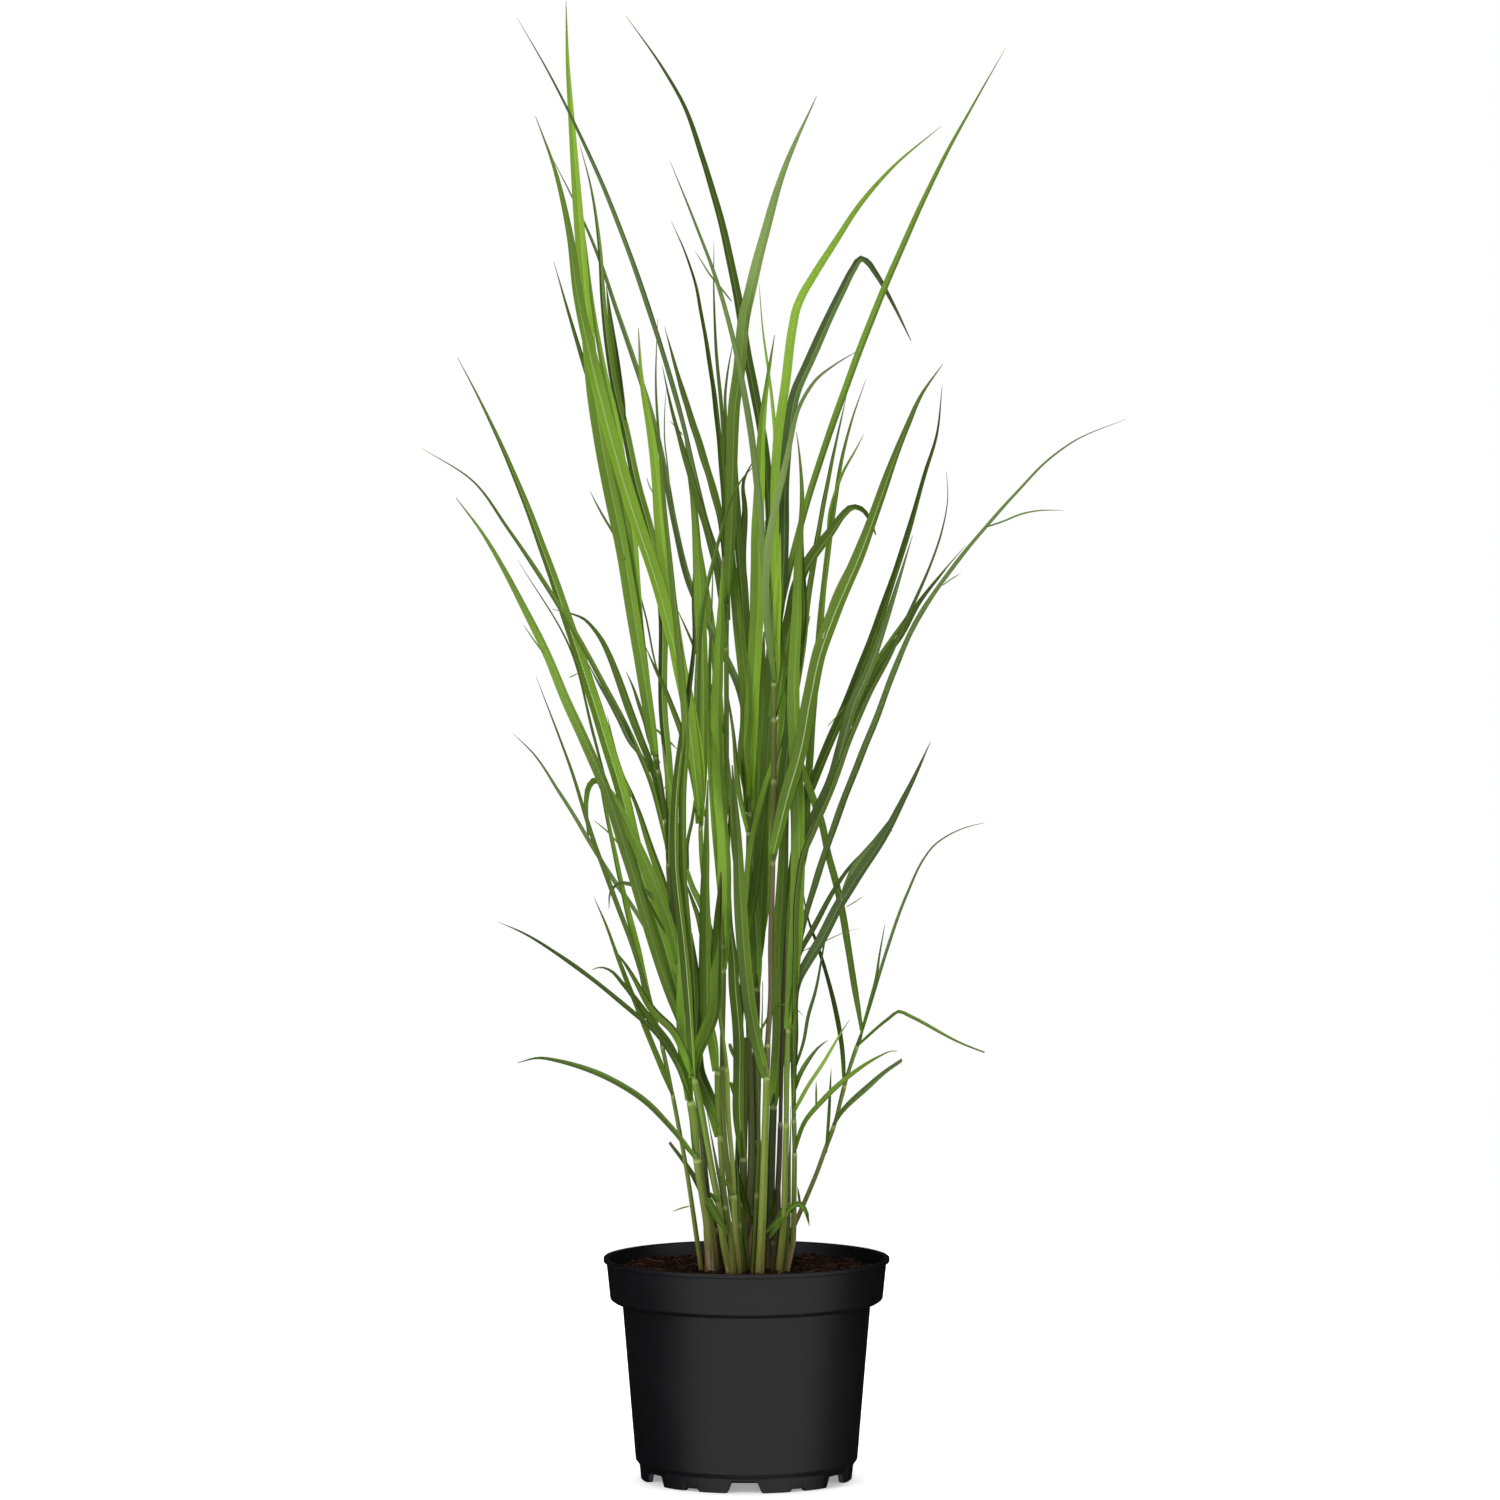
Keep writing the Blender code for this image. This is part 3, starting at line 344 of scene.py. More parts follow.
# Stems. name: the stem that a side shoot grows on, base depth, top depth, base radius, top
# radius, look, then the path from the soil upwards as seen from the front
stems = {
    "stem_far_left": (None, -18, -30, 2, 1.6, "fresh", (-36, -41, -48.5, -54, -59.5, -64.5, -69),
        (165, 200, 250, 280, 309, 333, 354)),
    "stem_brown_base": (None, -32, -60, 6.3, 3.7, "brownFoot", (-27.5, -31, -35, -38.5, -41, -42.5, -45.5),
        (165, 207, 228, 248, 270, 290, 307)),
    "shoot_grey": ("stem_brown_base", -26, -34, 3, 2.4, "grey", (-26, -29.5, -33.5, -37, -40),
        (165, 210, 248, 288, 318)),
    "stem_left_front": (None, -46, -95, 3, 2.4, "fresh", (-13.5, -18.5, -22.5, -28, -32.5, -37, -42.5),
        (165, 190, 220, 250, 275, 300, 324)),
    "shoot_inner": ("stem_left_front", -49, -60, 2.6, 2.4, "fresh", (-11, -13.5, -19, -21.5, -23, -23.5),
        (165, 197, 238, 278, 300, 331)),
    "stem_left_bright": (None, -40, -60, 2.6, 1.9, "fresh",
        (-6, -9, -11, -14.5, -16, -21, -26.5, -31.5, -36, -37),
        (165, 200, 250, 290, 331, 370, 420, 460, 500, 532)),
    "stem_tall_left": (None, -8, 25, 3.3, 2.2, "grey",
        (-10, -21, -34.5, -46.5, -54, -59.5, -62.5, -63.5, -67.5, -73),
        (165, 215, 280, 350, 410, 455, 490, 520, 550, 582)),
    "stem_tall_middle": (None, -22, -22, 3.8, 2.3, "fresh",
        (-4, -8, -14, -19, -19.5, -18.5, -18.5, -16, -16, -16),
        (165, 200, 240, 290, 340, 400, 480, 560, 640, 705)),
    "stem_middle": (None, -4, 10, 3.7, 1.9, "grey", (-1, 1, 3.5, 3.5, 2, 0, -0.5, 1.5, 2),
        (165, 210, 250, 300, 350, 400, 450, 500, 552)),
    "shoot_core": ("stem_middle", -3, 2, 3.2, 2.9, "olive", (-4, -4, -3, -2, -1.5, -1),
        (165, 198, 238, 278, 303, 355)),
    "stem_tall_right": (None, -47, -70, 3.5, 2.2, "purpleTop",
        (10.5, 13, 14, 15.5, 17, 19.5, 19.5, 20.5, 21.5, 22, 22),
        (165, 220, 250, 300, 350, 390, 430, 470, 520, 600, 672)),
    "stem_dark": (None, 9, 60, 3, 2.3, "purple", (8, 7, 7.5, 4.5, 6, 8, 8.5, 8.5),
        (165, 200, 240, 290, 320, 365, 390, 420)),
    "stem_right_bright": (None, -36, -52, 3, 2.3, "fresh", (25.5, 30, 31, 32, 32.5, 34.5),
        (165, 210, 250, 286, 330, 367)),
    "stem_right": (None, -22, -34, 2.4, 1.9, "fresh", (32, 37, 38, 38.5, 38, 38.5),
        (165, 190, 220, 270, 300, 335)),
    "stem_right_brown": (None, -6, 18, 3, 1.9, "purple", (21, 24, 26.5, 28, 30, 33),
        (165, 210, 260, 320, 390, 450)),
    "shoot_shade": ("stem_right_brown", -4, 44, 3, 2.5, "shade", (17.5, 19, 20, 21.5, 23),
        (165, 210, 250, 300, 345)),
    "stem_leaning": (None, -8, 20, 2.1, 1.6, "pinkFoot", (28, 35, 44.5, 57, 64, 71.5, 76.5, 82, 93),
        (165, 195, 217.5, 247.5, 267, 287.5, 307.5, 327.5, 360)),
    "stem_back": (None, 10, 90, 2.5, 1.7, "shade", (-12, -8.5, -6, -4, -3), (165, 230, 300, 380, 450)),
}

# Leaves. name: stem, own solid, width as seen, depth of the tip, turn about its length, share
# of the width left at the tip, then the path from the stem to the tip as seen from the front
leaves = {
    "a01": ("stem_tall_left", True, 9.5, -150, 29, 0.05,
        (-47, -61, -96, -115.5, -130.5, -143, -158.5, -175.5, -193.5, -212.5, -232.5),
        (352, 387.5, 500.5, 560.5, 595, 622, 660, 695, 729.5, 761.5, 788)),
    "a02": ("stem_tall_left", True, 8, 150, -29, 0.05,
        (-47, -64, -84, -99.5, -114, -141, -158.5, -183.5, -214.5, -231),
        (355, 424.5, 487, 551, 599.5, 683.5, 734.5, 800.5, 868.5, 900)),
    "a03": ("stem_tall_left", True, 4, 60, 45, 0.05, (-63, -75.5, -123, -191, -218, -259.5),
        (506, 556, 654.5, 763.5, 800.5, 827.5)),
    "a04": ("stem_tall_left", True, 2.5, -190, -52, 0.05, (-56, -75.5, -93, -122.5, -140.5, -183),
        (425, 457.5, 494.5, 597.5, 665.5, 738)),
    "a05": ("stem_far_left", True, 3.5, -110, 52, 0.05, (-69, -76.5, -93.5, -103, -121.5, -141.5, -168.5),
        (354, 380, 434.5, 460, 510, 573, 644.5)),
    "a06": ("stem_tall_left", True, 4, 150, 52, 0.05, (-51, -67.5, -90, -106, -150, -172, -187.5),
        (387, 420.5, 458, 481, 552, 584.5, 599.5)),
    "a07": ("stem_far_left", False, 4.5, -90, -45, 0.05, (-59.5, -81, -102, -114, -122.5),
        (309, 362.5, 415.5, 448.5, 468)),
    "a08": ("stem_brown_base", True, 4, -100, 52, 0.05, (-45, -56, -71, -92, -120.5, -150, -180, -199.5),
        (304, 334, 357, 376, 399.5, 421, 439.5, 448)),
    "a09": ("stem_brown_base", False, 5.5, -150, -52, 0.1,
        (-45, -49.5, -55.5, -62.5, -73, -100, -109.5, -117, -124),
        (304, 320.5, 335, 349.5, 363.5, 399, 409, 411.5, 409.5)),
    "a10": ("stem_left_front", False, 6, -60, 52, 0.1, (-42.5, -59.5, -73, -98, -105.5),
        (324, 361, 374.5, 415, 425)),
    "a11": ("stem_brown_base", True, 5, -150, 52, 0.08,
        (-39.5, -45.5, -52, -64.5, -78, -88, -100, -129.5, -150, -168, -184),
        (257.5, 264, 272.5, 287, 301, 309, 316.5, 330, 336, 338.5, 334.5)),
    "a14": ("stem_tall_left", True, 8.5, -60, 35, 0.1,
        (-54.5, -62, -78.5, -95.5, -106.5, -113.5, -119, -123.5, -127, -128.5, -127.5, -126.5),
        (414, 445, 488, 524.5, 546.5, 556.5, 562, 561, 555.5, 546, 524, 511)),
    "a15": ("stem_far_left", False, 5, 60, -52, 0.05, (-68, -80, -87, -95, -104, -122.5),
        (349, 390, 425, 455, 495, 585)),
    "a17": ("stem_tall_left", True, 6.5, 200, 32, 0.05, (-51.5, -58, -75.5, -91, -103.5),
        (390, 448, 502.5, 548.5, 576)),
    "b01": ("stem_tall_left", True, 11, -40, 20, 0.04,
        (-73, -85, -91.5, -98, -116, -122, -128.5, -140.5, -142.5, -144),
        (582, 660, 700, 739.5, 829.5, 870, 940.5, 1100, 1130, 1184)),
    "b02": ("stem_left_bright", True, 11, -150, -35, 0.04,
        (-37, -44, -55.5, -65.5, -98, -125.5, -134.5, -141.5, -153, -168.5),
        (532, 600, 662.5, 701.5, 803, 907.5, 950, 1000, 1049.5, 1092.5)),
    "b03": ("stem_tall_left", True, 6.5, 150, 45, 0.05, (-71, -77.5, -92, -101, -121.5, -133, -154),
        (570, 620, 725, 780.5, 868, 904.5, 976.5)),
    "b04": ("stem_tall_middle", True, 4, -110, 45, 0.05,
        (-16, -21.5, -32, -39.5, -50, -80, -94, -110.5, -138, -159.5, -183),
        (703, 738, 769.5, 799.5, 844.5, 944.5, 984.5, 1027, 1088, 1130, 1170.5)),
    "b05": ("stem_brown_base", False, 11.5, -95, 32, 0.08, (-45, -50.5, -49.5, -53, -57.5, -61.5, -67.5),
        (305, 360, 420, 480, 525, 550.5, 590.5)),
    "b06": ("stem_tall_left", True, 7.5, 70, -20, 0.04,
        (-62.5, -62, -67, -67.5, -72.5, -90, -96.5, -105, -110, -114.5, -117, -125.5, -133.5),
        (495, 560, 620, 700, 740, 808.5, 840.5, 875, 905, 945, 985, 1041.5, 1071)),
    "b07": ("stem_middle", True, 5.5, 130, 48, 0.05,
        (2, 0.5, -5, -27, -43.5, -57, -70, -80, -104.5, -116, -138.5, -155),
        (552, 600, 632, 680, 713.5, 765, 832, 868, 940, 974.5, 1026.5, 1059)),
    "b08": ("stem_tall_right", True, 7, 110, -29, 0.04,
        (22, 20.5, 14, 6, 1, -5.5, -11, -21, -35.5, -49.5, -66.5, -96),
        (672, 720, 830, 875, 900, 940, 968, 1011.5, 1060, 1100, 1130, 1172)),
    "b09": ("stem_tall_right", True, 5, -190, 48, 0.05, (22, 16.5, 8.5, 3.5, -9.5, -18, -27.5, -40.5, -61),
        (660, 710, 800, 840, 910, 943, 972, 1006, 1056.5)),
    "b10": ("stem_tall_middle", True, 4.5, 190, 52, 0.05, (-16, -15.5, -18, -27, -37, -40, -49.5, -60),
        (704, 745, 790, 879.5, 940, 955.5, 985, 1008.5)),
    "b11": ("stem_tall_middle", False, 3, -95, -52, 0.05, (-16, -17, -18.5, -24.5, -26, -26),
        (699, 800, 840, 910, 945, 993)),
    "b12": ("stem_tall_middle", True, 9.5, -240, 32, 0.04,
        (-16, -12.5, -11.5, -9.5, -6.5, -2, 4.5, 13.5, 30, 56),
        (704, 770, 820, 865, 884.5, 930.5, 960, 995, 1050, 1108.5)),
    "b13": ("stem_left_bright", False, 11, -100, 20, 0.04,
        (-37, -39, -46.5, -54, -64, -68.5, -71.5, -76.5, -83.5, -86.5),
        (527, 575, 620, 655, 725, 762, 800, 840, 880, 924)),
    "b14": ("stem_left_front", False, 5.5, -200, 52, 0.05,
        (-42, -45.5, -51, -51.5, -49, -55.5, -64.5, -69.5, -72.5, -71),
        (322, 420, 490, 540, 600, 680, 770, 830, 880, 931)),
    "b16": ("stem_tall_middle", True, 6.5, 240, -52, 0.05, (-16, -19.5, -27.5, -37.5, -54.5, -65.5),
        (690, 765, 797, 830, 885, 924.5)),
    "b17": ("stem_tall_middle", True, 5.5, -175, 52, 0.05, (-16, -19.5, -27, -44.5, -60.5, -67.5),
        (668, 705, 745, 805, 862, 894)),
    "b18": ("stem_left_bright", True, 9.5, 60, 35, 0.06, (-37, -35.5, -35.5, -37.5, -39.5, -42, -49.5),
        (528, 590, 650, 705, 745, 780, 838)),
    "b19": ("stem_left_bright", False, 4.5, -140, -52, 0.1, (-37, -39, -36, -28, -20, -11, -3.5, 7),
        (525, 650, 695, 732, 762, 789.5, 803, 814.5)),
    "b21": ("stem_left_front", False, 6.5, -150, 45, 0.06, (-42.5, -50, -58, -57, -52.5, -46, -42, -43, -42),
        (324, 420, 500, 550, 590, 634.5, 669.5, 710, 737)),
    "b22": ("stem_tall_right", False, 10.5, -95, 20, 0.1, (16, 10, 0.5, -2, -6, -7.5, -11.5),
        (323, 344.5, 394.5, 420, 480, 520, 574)),
    "b23": ("stem_middle", False, 8.5, 55, -45, 0.06, (2, -0.5, -9.5, -8.5), (546, 680, 815, 880)),
    "b24": ("stem_middle", False, 11, -70, 26, 0.05, (2, 3.5, 8.5, 9, 10.5, 12.5, 16.5, 22.5),
        (548, 610, 710, 760, 800, 845, 880, 918)),
    "b25": ("stem_tall_right", False, 3.5, -20, 52, 0.05, (22, 23.5, 23, 23, 16.5, 13.5, 10),
        (666, 730, 790, 835, 897, 918, 959)),
    "c01": ("stem_tall_right", True, 7, -170, 26, 0.04,
        (22, 22.5, 25.5, 30.5, 37, 39.5, 44.5, 52.5, 70, 92.5, 117, 155.5),
        (672, 720, 840, 875, 925, 938, 950, 963.5, 991, 1024.5, 1052, 1084.5)),
    "c02": ("stem_tall_right", True, 9, 60, 29, 0.08,
        (22, 28, 33, 39.5, 49, 76.5, 85.5, 91.5, 96.5, 102.5, 116, 131.5),
        (662, 720, 835, 873, 894.5, 954, 971, 979, 976.5, 968.5, 945, 913.5)),
    "c03": ("stem_tall_right", True, 5.5, -224, -42, 0.05, (22, 15.5, 17, 24, 31, 36, 41, 48, 56, 70, 90),
        (640, 700, 745, 785, 815, 838, 858, 872, 883, 894, 906)),
    "c04": ("stem_tall_right", True, 5.5, 20, 29, 0.04,
        (22, 40.5, 49, 76.5, 106, 124.5, 141, 161, 176.5, 207),
        (672, 755, 785.5, 868, 945.5, 988.5, 1025, 1065.5, 1093.5, 1147)),
    "c05": ("stem_right_bright", False, 11, -120, 32, 0.05,
        (34, 40.5, 41, 39, 37.5, 40, 41.5, 44.5, 41.5, 40),
        (362, 470, 530, 590, 640, 690, 740, 780, 830, 840.5)),
    "c06": ("stem_tall_right", True, 5.5, 170, -48, 0.05, (22, 37, 44.5, 49, 55, 66.5, 80),
        (562, 620.5, 665.5, 705, 745, 808, 870)),
    "c07": ("stem_right_brown", True, 6, 180, 45, 0.05, (33, 45.5, 50, 58.5, 62.5, 71.5, 75.5, 83.5, 95.5),
        (448, 510, 570, 680, 722, 790, 815, 847.5, 882.5)),
    "c09": ("stem_tall_right", True, 11, 120, 45, 0.1, (22, 34.5, 46, 68.5, 76.5, 85, 92, 98.5, 103.5),
        (612, 690, 730.5, 762.5, 773.5, 780.5, 779, 771, 758.5)),
    "c10": ("stem_tall_right", True, 11, -130, 30, 0.04, (21, 31, 43, 50.5, 58, 68, 88.5, 128.5, 139.5, 157),
        (502, 545, 587.5, 628, 662.5, 691, 738.5, 845, 869.5, 895)),
    "c11": ("stem_right_brown", True, 7, 60, 45, 0.04,
        (33, 40.5, 47.5, 54.5, 89, 113.5, 127.5, 143.5, 152, 156.5),
        (450, 515, 545.5, 563.5, 645, 711.5, 754, 809.5, 837.5, 877.5)),
    "c12": ("stem_right", True, 9.5, -80, 35, 0.04,
        (38.5, 36, 38.5, 42, 45, 60.5, 68.5, 75, 85.5, 97.5, 108.5, 133),
        (335, 390, 470, 497, 509.5, 543.5, 562, 585.5, 623, 650, 680.5, 758)),
    "c13": ("stem_right", True, 4.5, -210, -52, 0.05,
        (38, 39, 41.5, 44.5, 54, 65.5, 83, 96, 114, 130.5, 147.5, 156.5, 161, 160),
        (290, 420, 480, 498, 522, 548, 595.5, 626, 660.5, 696.5, 735, 762, 787, 809)),
    "c14": ("stem_right_bright", True, 5.5, 130, 52, 0.05,
        (34.5, 40, 47.5, 60, 80, 95.5, 103.5, 118.5, 139, 159.5, 175.5),
        (364, 470, 508, 544.5, 599.5, 640, 655.5, 678, 706.5, 731.5, 750)),
    "c15": ("stem_right", True, 4, -60, 52, 0.04,
        (38.5, 39, 43, 54, 79.5, 99.5, 141, 165, 190.5, 215.5, 240.5, 261.5, 302.5),
        (333, 380, 435, 475, 550, 600, 697.5, 732, 763.5, 791.5, 817.5, 833, 850.5)),
    "c16": ("stem_right", True, 4.5, -150, 48, 0.04,
        (38, 38.5, 41.5, 51.5, 59.5, 76, 85.5, 106.5, 126.5, 147.5),
        (300, 350, 402, 420.5, 433.5, 465, 480, 511, 547.5, 592.5)),
    "c17": ("stem_right_bright", False, 4, -40, -52, 0.1, (34, 37.5, 43.5, 52, 70.5, 80.5, 90, 99.5, 117),
        (362, 395, 425, 440, 474, 489, 500, 509.5, 521.5)),
    "c18": ("stem_leaning", True, 4, -70, 48, 0.05, (93, 86, 77, 70.5, 65, 60.5, 54.5, 42.5, 37, 24),
        (360, 400, 455, 485, 505, 527, 544.5, 579.5, 610, 709)),
    "c19": ("stem_leaning", False, 2.4, -20, 52, 0.1, (91.5, 99.5, 104, 106.5, 111),
        (355, 384.5, 402, 420, 446)),
    "c20": ("stem_leaning", True, 2.4, 110, -52, 0.08, (91.5, 98, 112.5, 128.5, 143, 149.5, 160, 178, 191),
        (356, 377.5, 425, 470, 500, 508.5, 516.5, 524.5, 527.5)),
    "c21": ("stem_leaning", True, 2.5, -30, 52, 0.45, (89, 114.5, 122.5, 130.5, 175.5, 191),
        (348, 370.5, 376, 372.5, 349, 343)),
    "c22": ("stem_leaning", False, 3.5, 60, 52, 0.08, (79, 77, 72, 61.5, 56, 51, 47.5, 45),
        (317, 345, 375, 415, 432, 445.5, 458.5, 478.5)),
    "c23": ("stem_right", False, 4, -70, 52, 0.1, (38.5, 47.5, 60, 72.5, 82.5, 108, 116, 121),
        (262, 288, 303, 315.5, 324, 340.5, 344, 344)),
    "c24": ("stem_leaning", False, 4, -40, 50, 0.8, (70, 75, 99.5, 111, 124.5),
        (284, 292.5, 317, 327, 336.5)),
    "c25": ("stem_right", False, 3, -50, -52, 0.08, (38, 49, 60, 76, 82.5), (296, 315.5, 332, 359, 369)),
    "c26": ("stem_right", False, 3.5, -75, 52, 0.1, (38, 43.5, 52, 60, 65), (310, 326, 340, 349, 352.5)),
    "c27": ("stem_right", False, 2.4, -20, 52, 0.08, (38.5, 46, 49.5, 55.5, 58, 60.5, 64, 71),
        (328, 352, 372, 393, 405, 420, 437, 453)),
    "d01": ("stem_tall_middle", False, 4.5, -70, 52, 0.6, (-7, -19, -32.5, -45, -62),
        (190, 204.5, 225, 247.5, 270.5)),
    "d02": ("stem_right_brown", False, 4, -60, 52, 0.1, (22.5, 29.5, 35, 42, 47.5, 49.5, 50.5),
        (190, 207.5, 216, 220.5, 216.5, 209, 203)),
    "d03": ("stem_back", True, 4, 230, 38, 0.05, (-3.5, 0, 15.5, 20.5, 22), (400, 480, 640, 720, 800)),
    "d04": ("stem_back", True, 7.5, 200, -35, 0.05, (-3, -10, -20, -27.5, -40, -48.5),
        (450, 520, 600, 680.5, 760.5, 818.5)),
    "d05": ("stem_dark", True, 13, 240, 42, 0.05, (8.5, 13.5, 19, 38, 51), (420, 480, 540, 650.5, 693.5)),
    "a18": ("stem_tall_left", True, 6, 110, 48, 0.05,
        (-65, -71.5, -87, -91.5, -103.5, -109.5, -116.5, -122.5, -130, -141, -156),
        (530, 559.5, 600, 612, 645, 660.5, 675, 683.5, 691, 695.5, 699)),
    "f08": ("stem_middle", False, 9, -20, 32, 0.08, (2, -2.5, -0.5, -2.5, -7, -12, -17),
        (545, 580, 610, 650, 690, 740, 813)),
    "f01": ("stem_middle", False, 5, -40, 48, 0.1, (-0.5, 1.5, 8.5, 15, 21, 25, 28),
        (452, 490, 532, 557, 575, 600, 640)),
    "f02": ("stem_dark", False, 11, 70, 32, 0.1, (8.5, 10, 12, 12, 14), (410, 440, 500, 600, 681)),
    "f03": ("stem_tall_middle", False, 11, -70, 45, 0.1, (-18.5, -18.5, -21.5, -24, -22.5, -18.5),
        (410, 510, 548.5, 600, 660, 741)),
    "f06": ("stem_left_front", False, 10, -50, 52, 0.1, (-42, -39, -33, -27, -25, -23.5, -20.5),
        (322, 345, 357.5, 374.5, 405, 440, 488)),
    "f09": ("shoot_inner", False, 11, 0, 29, 0.1, (-21.5, -26.5, -32.5, -39, -41, -40, -44),
        (275, 296.5, 310.5, 326.5, 345, 395, 439)),
    "f10": ("stem_dark", False, 10, 40, 32, 0.1, (8.5, 7, 4.5, 4.5, 7.5), (395, 440, 480, 520, 600)),
    "f11": ("shoot_shade", False, 11, 30, 22, 0.1, (21.5, 26, 26, 25.5, 28.5, 30.5, 34),
        (300, 355, 390, 418, 472, 522, 590)),
    "f12": ("shoot_core", False, 8.5, -20, 38, 0.1, (-2.5, -6, -6.5, -10, -11, -14, -15, -13.5),
        (258, 285, 355, 397, 418, 445, 490, 542)),
    "f13": ("shoot_inner", False, 8.5, -75, 52, 0.1, (-23.5, -28, -32, -33, -33.5, -32.5, -31),
        (328, 356, 369.5, 395, 450, 500, 562)),
    "g03": ("stem_tall_left", False, 7.5, -100, 30, 0.06,
        (-73, -86.5, -92.5, -98, -102.5, -116, -122.5, -128.5),
        (582, 689.5, 765, 800, 835.5, 900, 940, 994)),
    "g05": ("stem_tall_right", False, 9, -90, 20, 0.06, (21, 27, 33, 38, 42, 42, 43),
        (497, 540, 590, 640, 690, 720, 770)),
    "g06": ("stem_middle", False, 8, -60, 32, 0.06, (-0.5, 8, 16, 20, 15), (430, 480, 580, 680, 770)),
    "g07": ("stem_tall_middle", False, 4, 60, -45, 0.06, (-18.5, -30, -26.5), (430, 600, 744)),
    "g13": ("stem_middle", False, 11, 110, -35, 0.06, (1.5, 1, -4, -1.5, -2.5, 5.5),
        (536, 620, 740, 780, 800.5, 818)),
    "g18": ("stem_middle", False, 4, -50, 45, 0.06, (1.5, -5.5, -10.5, -16), (520, 550, 600, 636.5)),
}

# The blades' colours as on a screen, and which leaf has which
tones = {
    "pale": (119, 145, 77), "bright": (121, 157, 46), "fresh": (105, 139, 42), "mid": (91, 120, 36),
    "soft": (79, 104, 32), "dark": (68, 90, 23), "deep": (54, 74, 12), "grey": (93, 116, 59),
    "dusk": (75, 96, 49), "slate": (66, 84, 46), "straw": (132, 104, 66), "husk": (88, 66, 42),
    "cream": (150, 148, 96),
}
toneOf = {
    "pale": "b12 c03",
    "bright": "b01 b13 b24 b25 c01 c25 g07",
    "fresh": "a01 a14 a15 b02 b05 f01 f03 g03",
    "mid": "a07 b18 b19 c04 c05 c07 c18 c19 c23 d04 d05 f02 f08 f13 g18",
    "soft": "a02 a03 a04 a11 a18 b06 b11 b14 b22 c06 c10 c14 c21 f06 f11 f12 g06",
    "dark": "a05 a09 a10 a17 b03 b16 b17 b21 b23 c09 c11 c13 d01 d02 d03 f10 g13",
    "deep": "a08 b08 b10 c17 c22 f09 g05",
    "grey": "a06 b07 b09 c12 c15 c20 c24 c27",
    "dusk": "b04 c02 c26",
    "slate": "c16",
}
leafTone = {name: tone for tone, names in toneOf.items() for name in names.split()}
# Blades that are wider or narrower than the frame's, by a factor at foot and at tip
fuller = {"a01": (0.72, 1.05), "a02": (1.5, 1), "c15": (1.25, 1.2), "c16": (1, 2.6), "c18": (1.1, 2.1)}
# Blades whose lower half has a tone of its own
lowerTone = {"a01": "soft", "a02": "fresh", "b01": "mid", "b12": "soft", "b02": "bright"}
paleRibs = "a02 b02 c10 b21 c12 f01 f12 b19 c06 b06".split()
# Painted shade and light on the two halves of a folded blade: how much darker or lighter the left and the
# right half are made, where they differ much
paintedHalfShade = {"b06": (0.72, 1.35), "c02": (0.62, 1.12), "c10": (0.86, 1.12), "b21": (0.85, 1.1)}

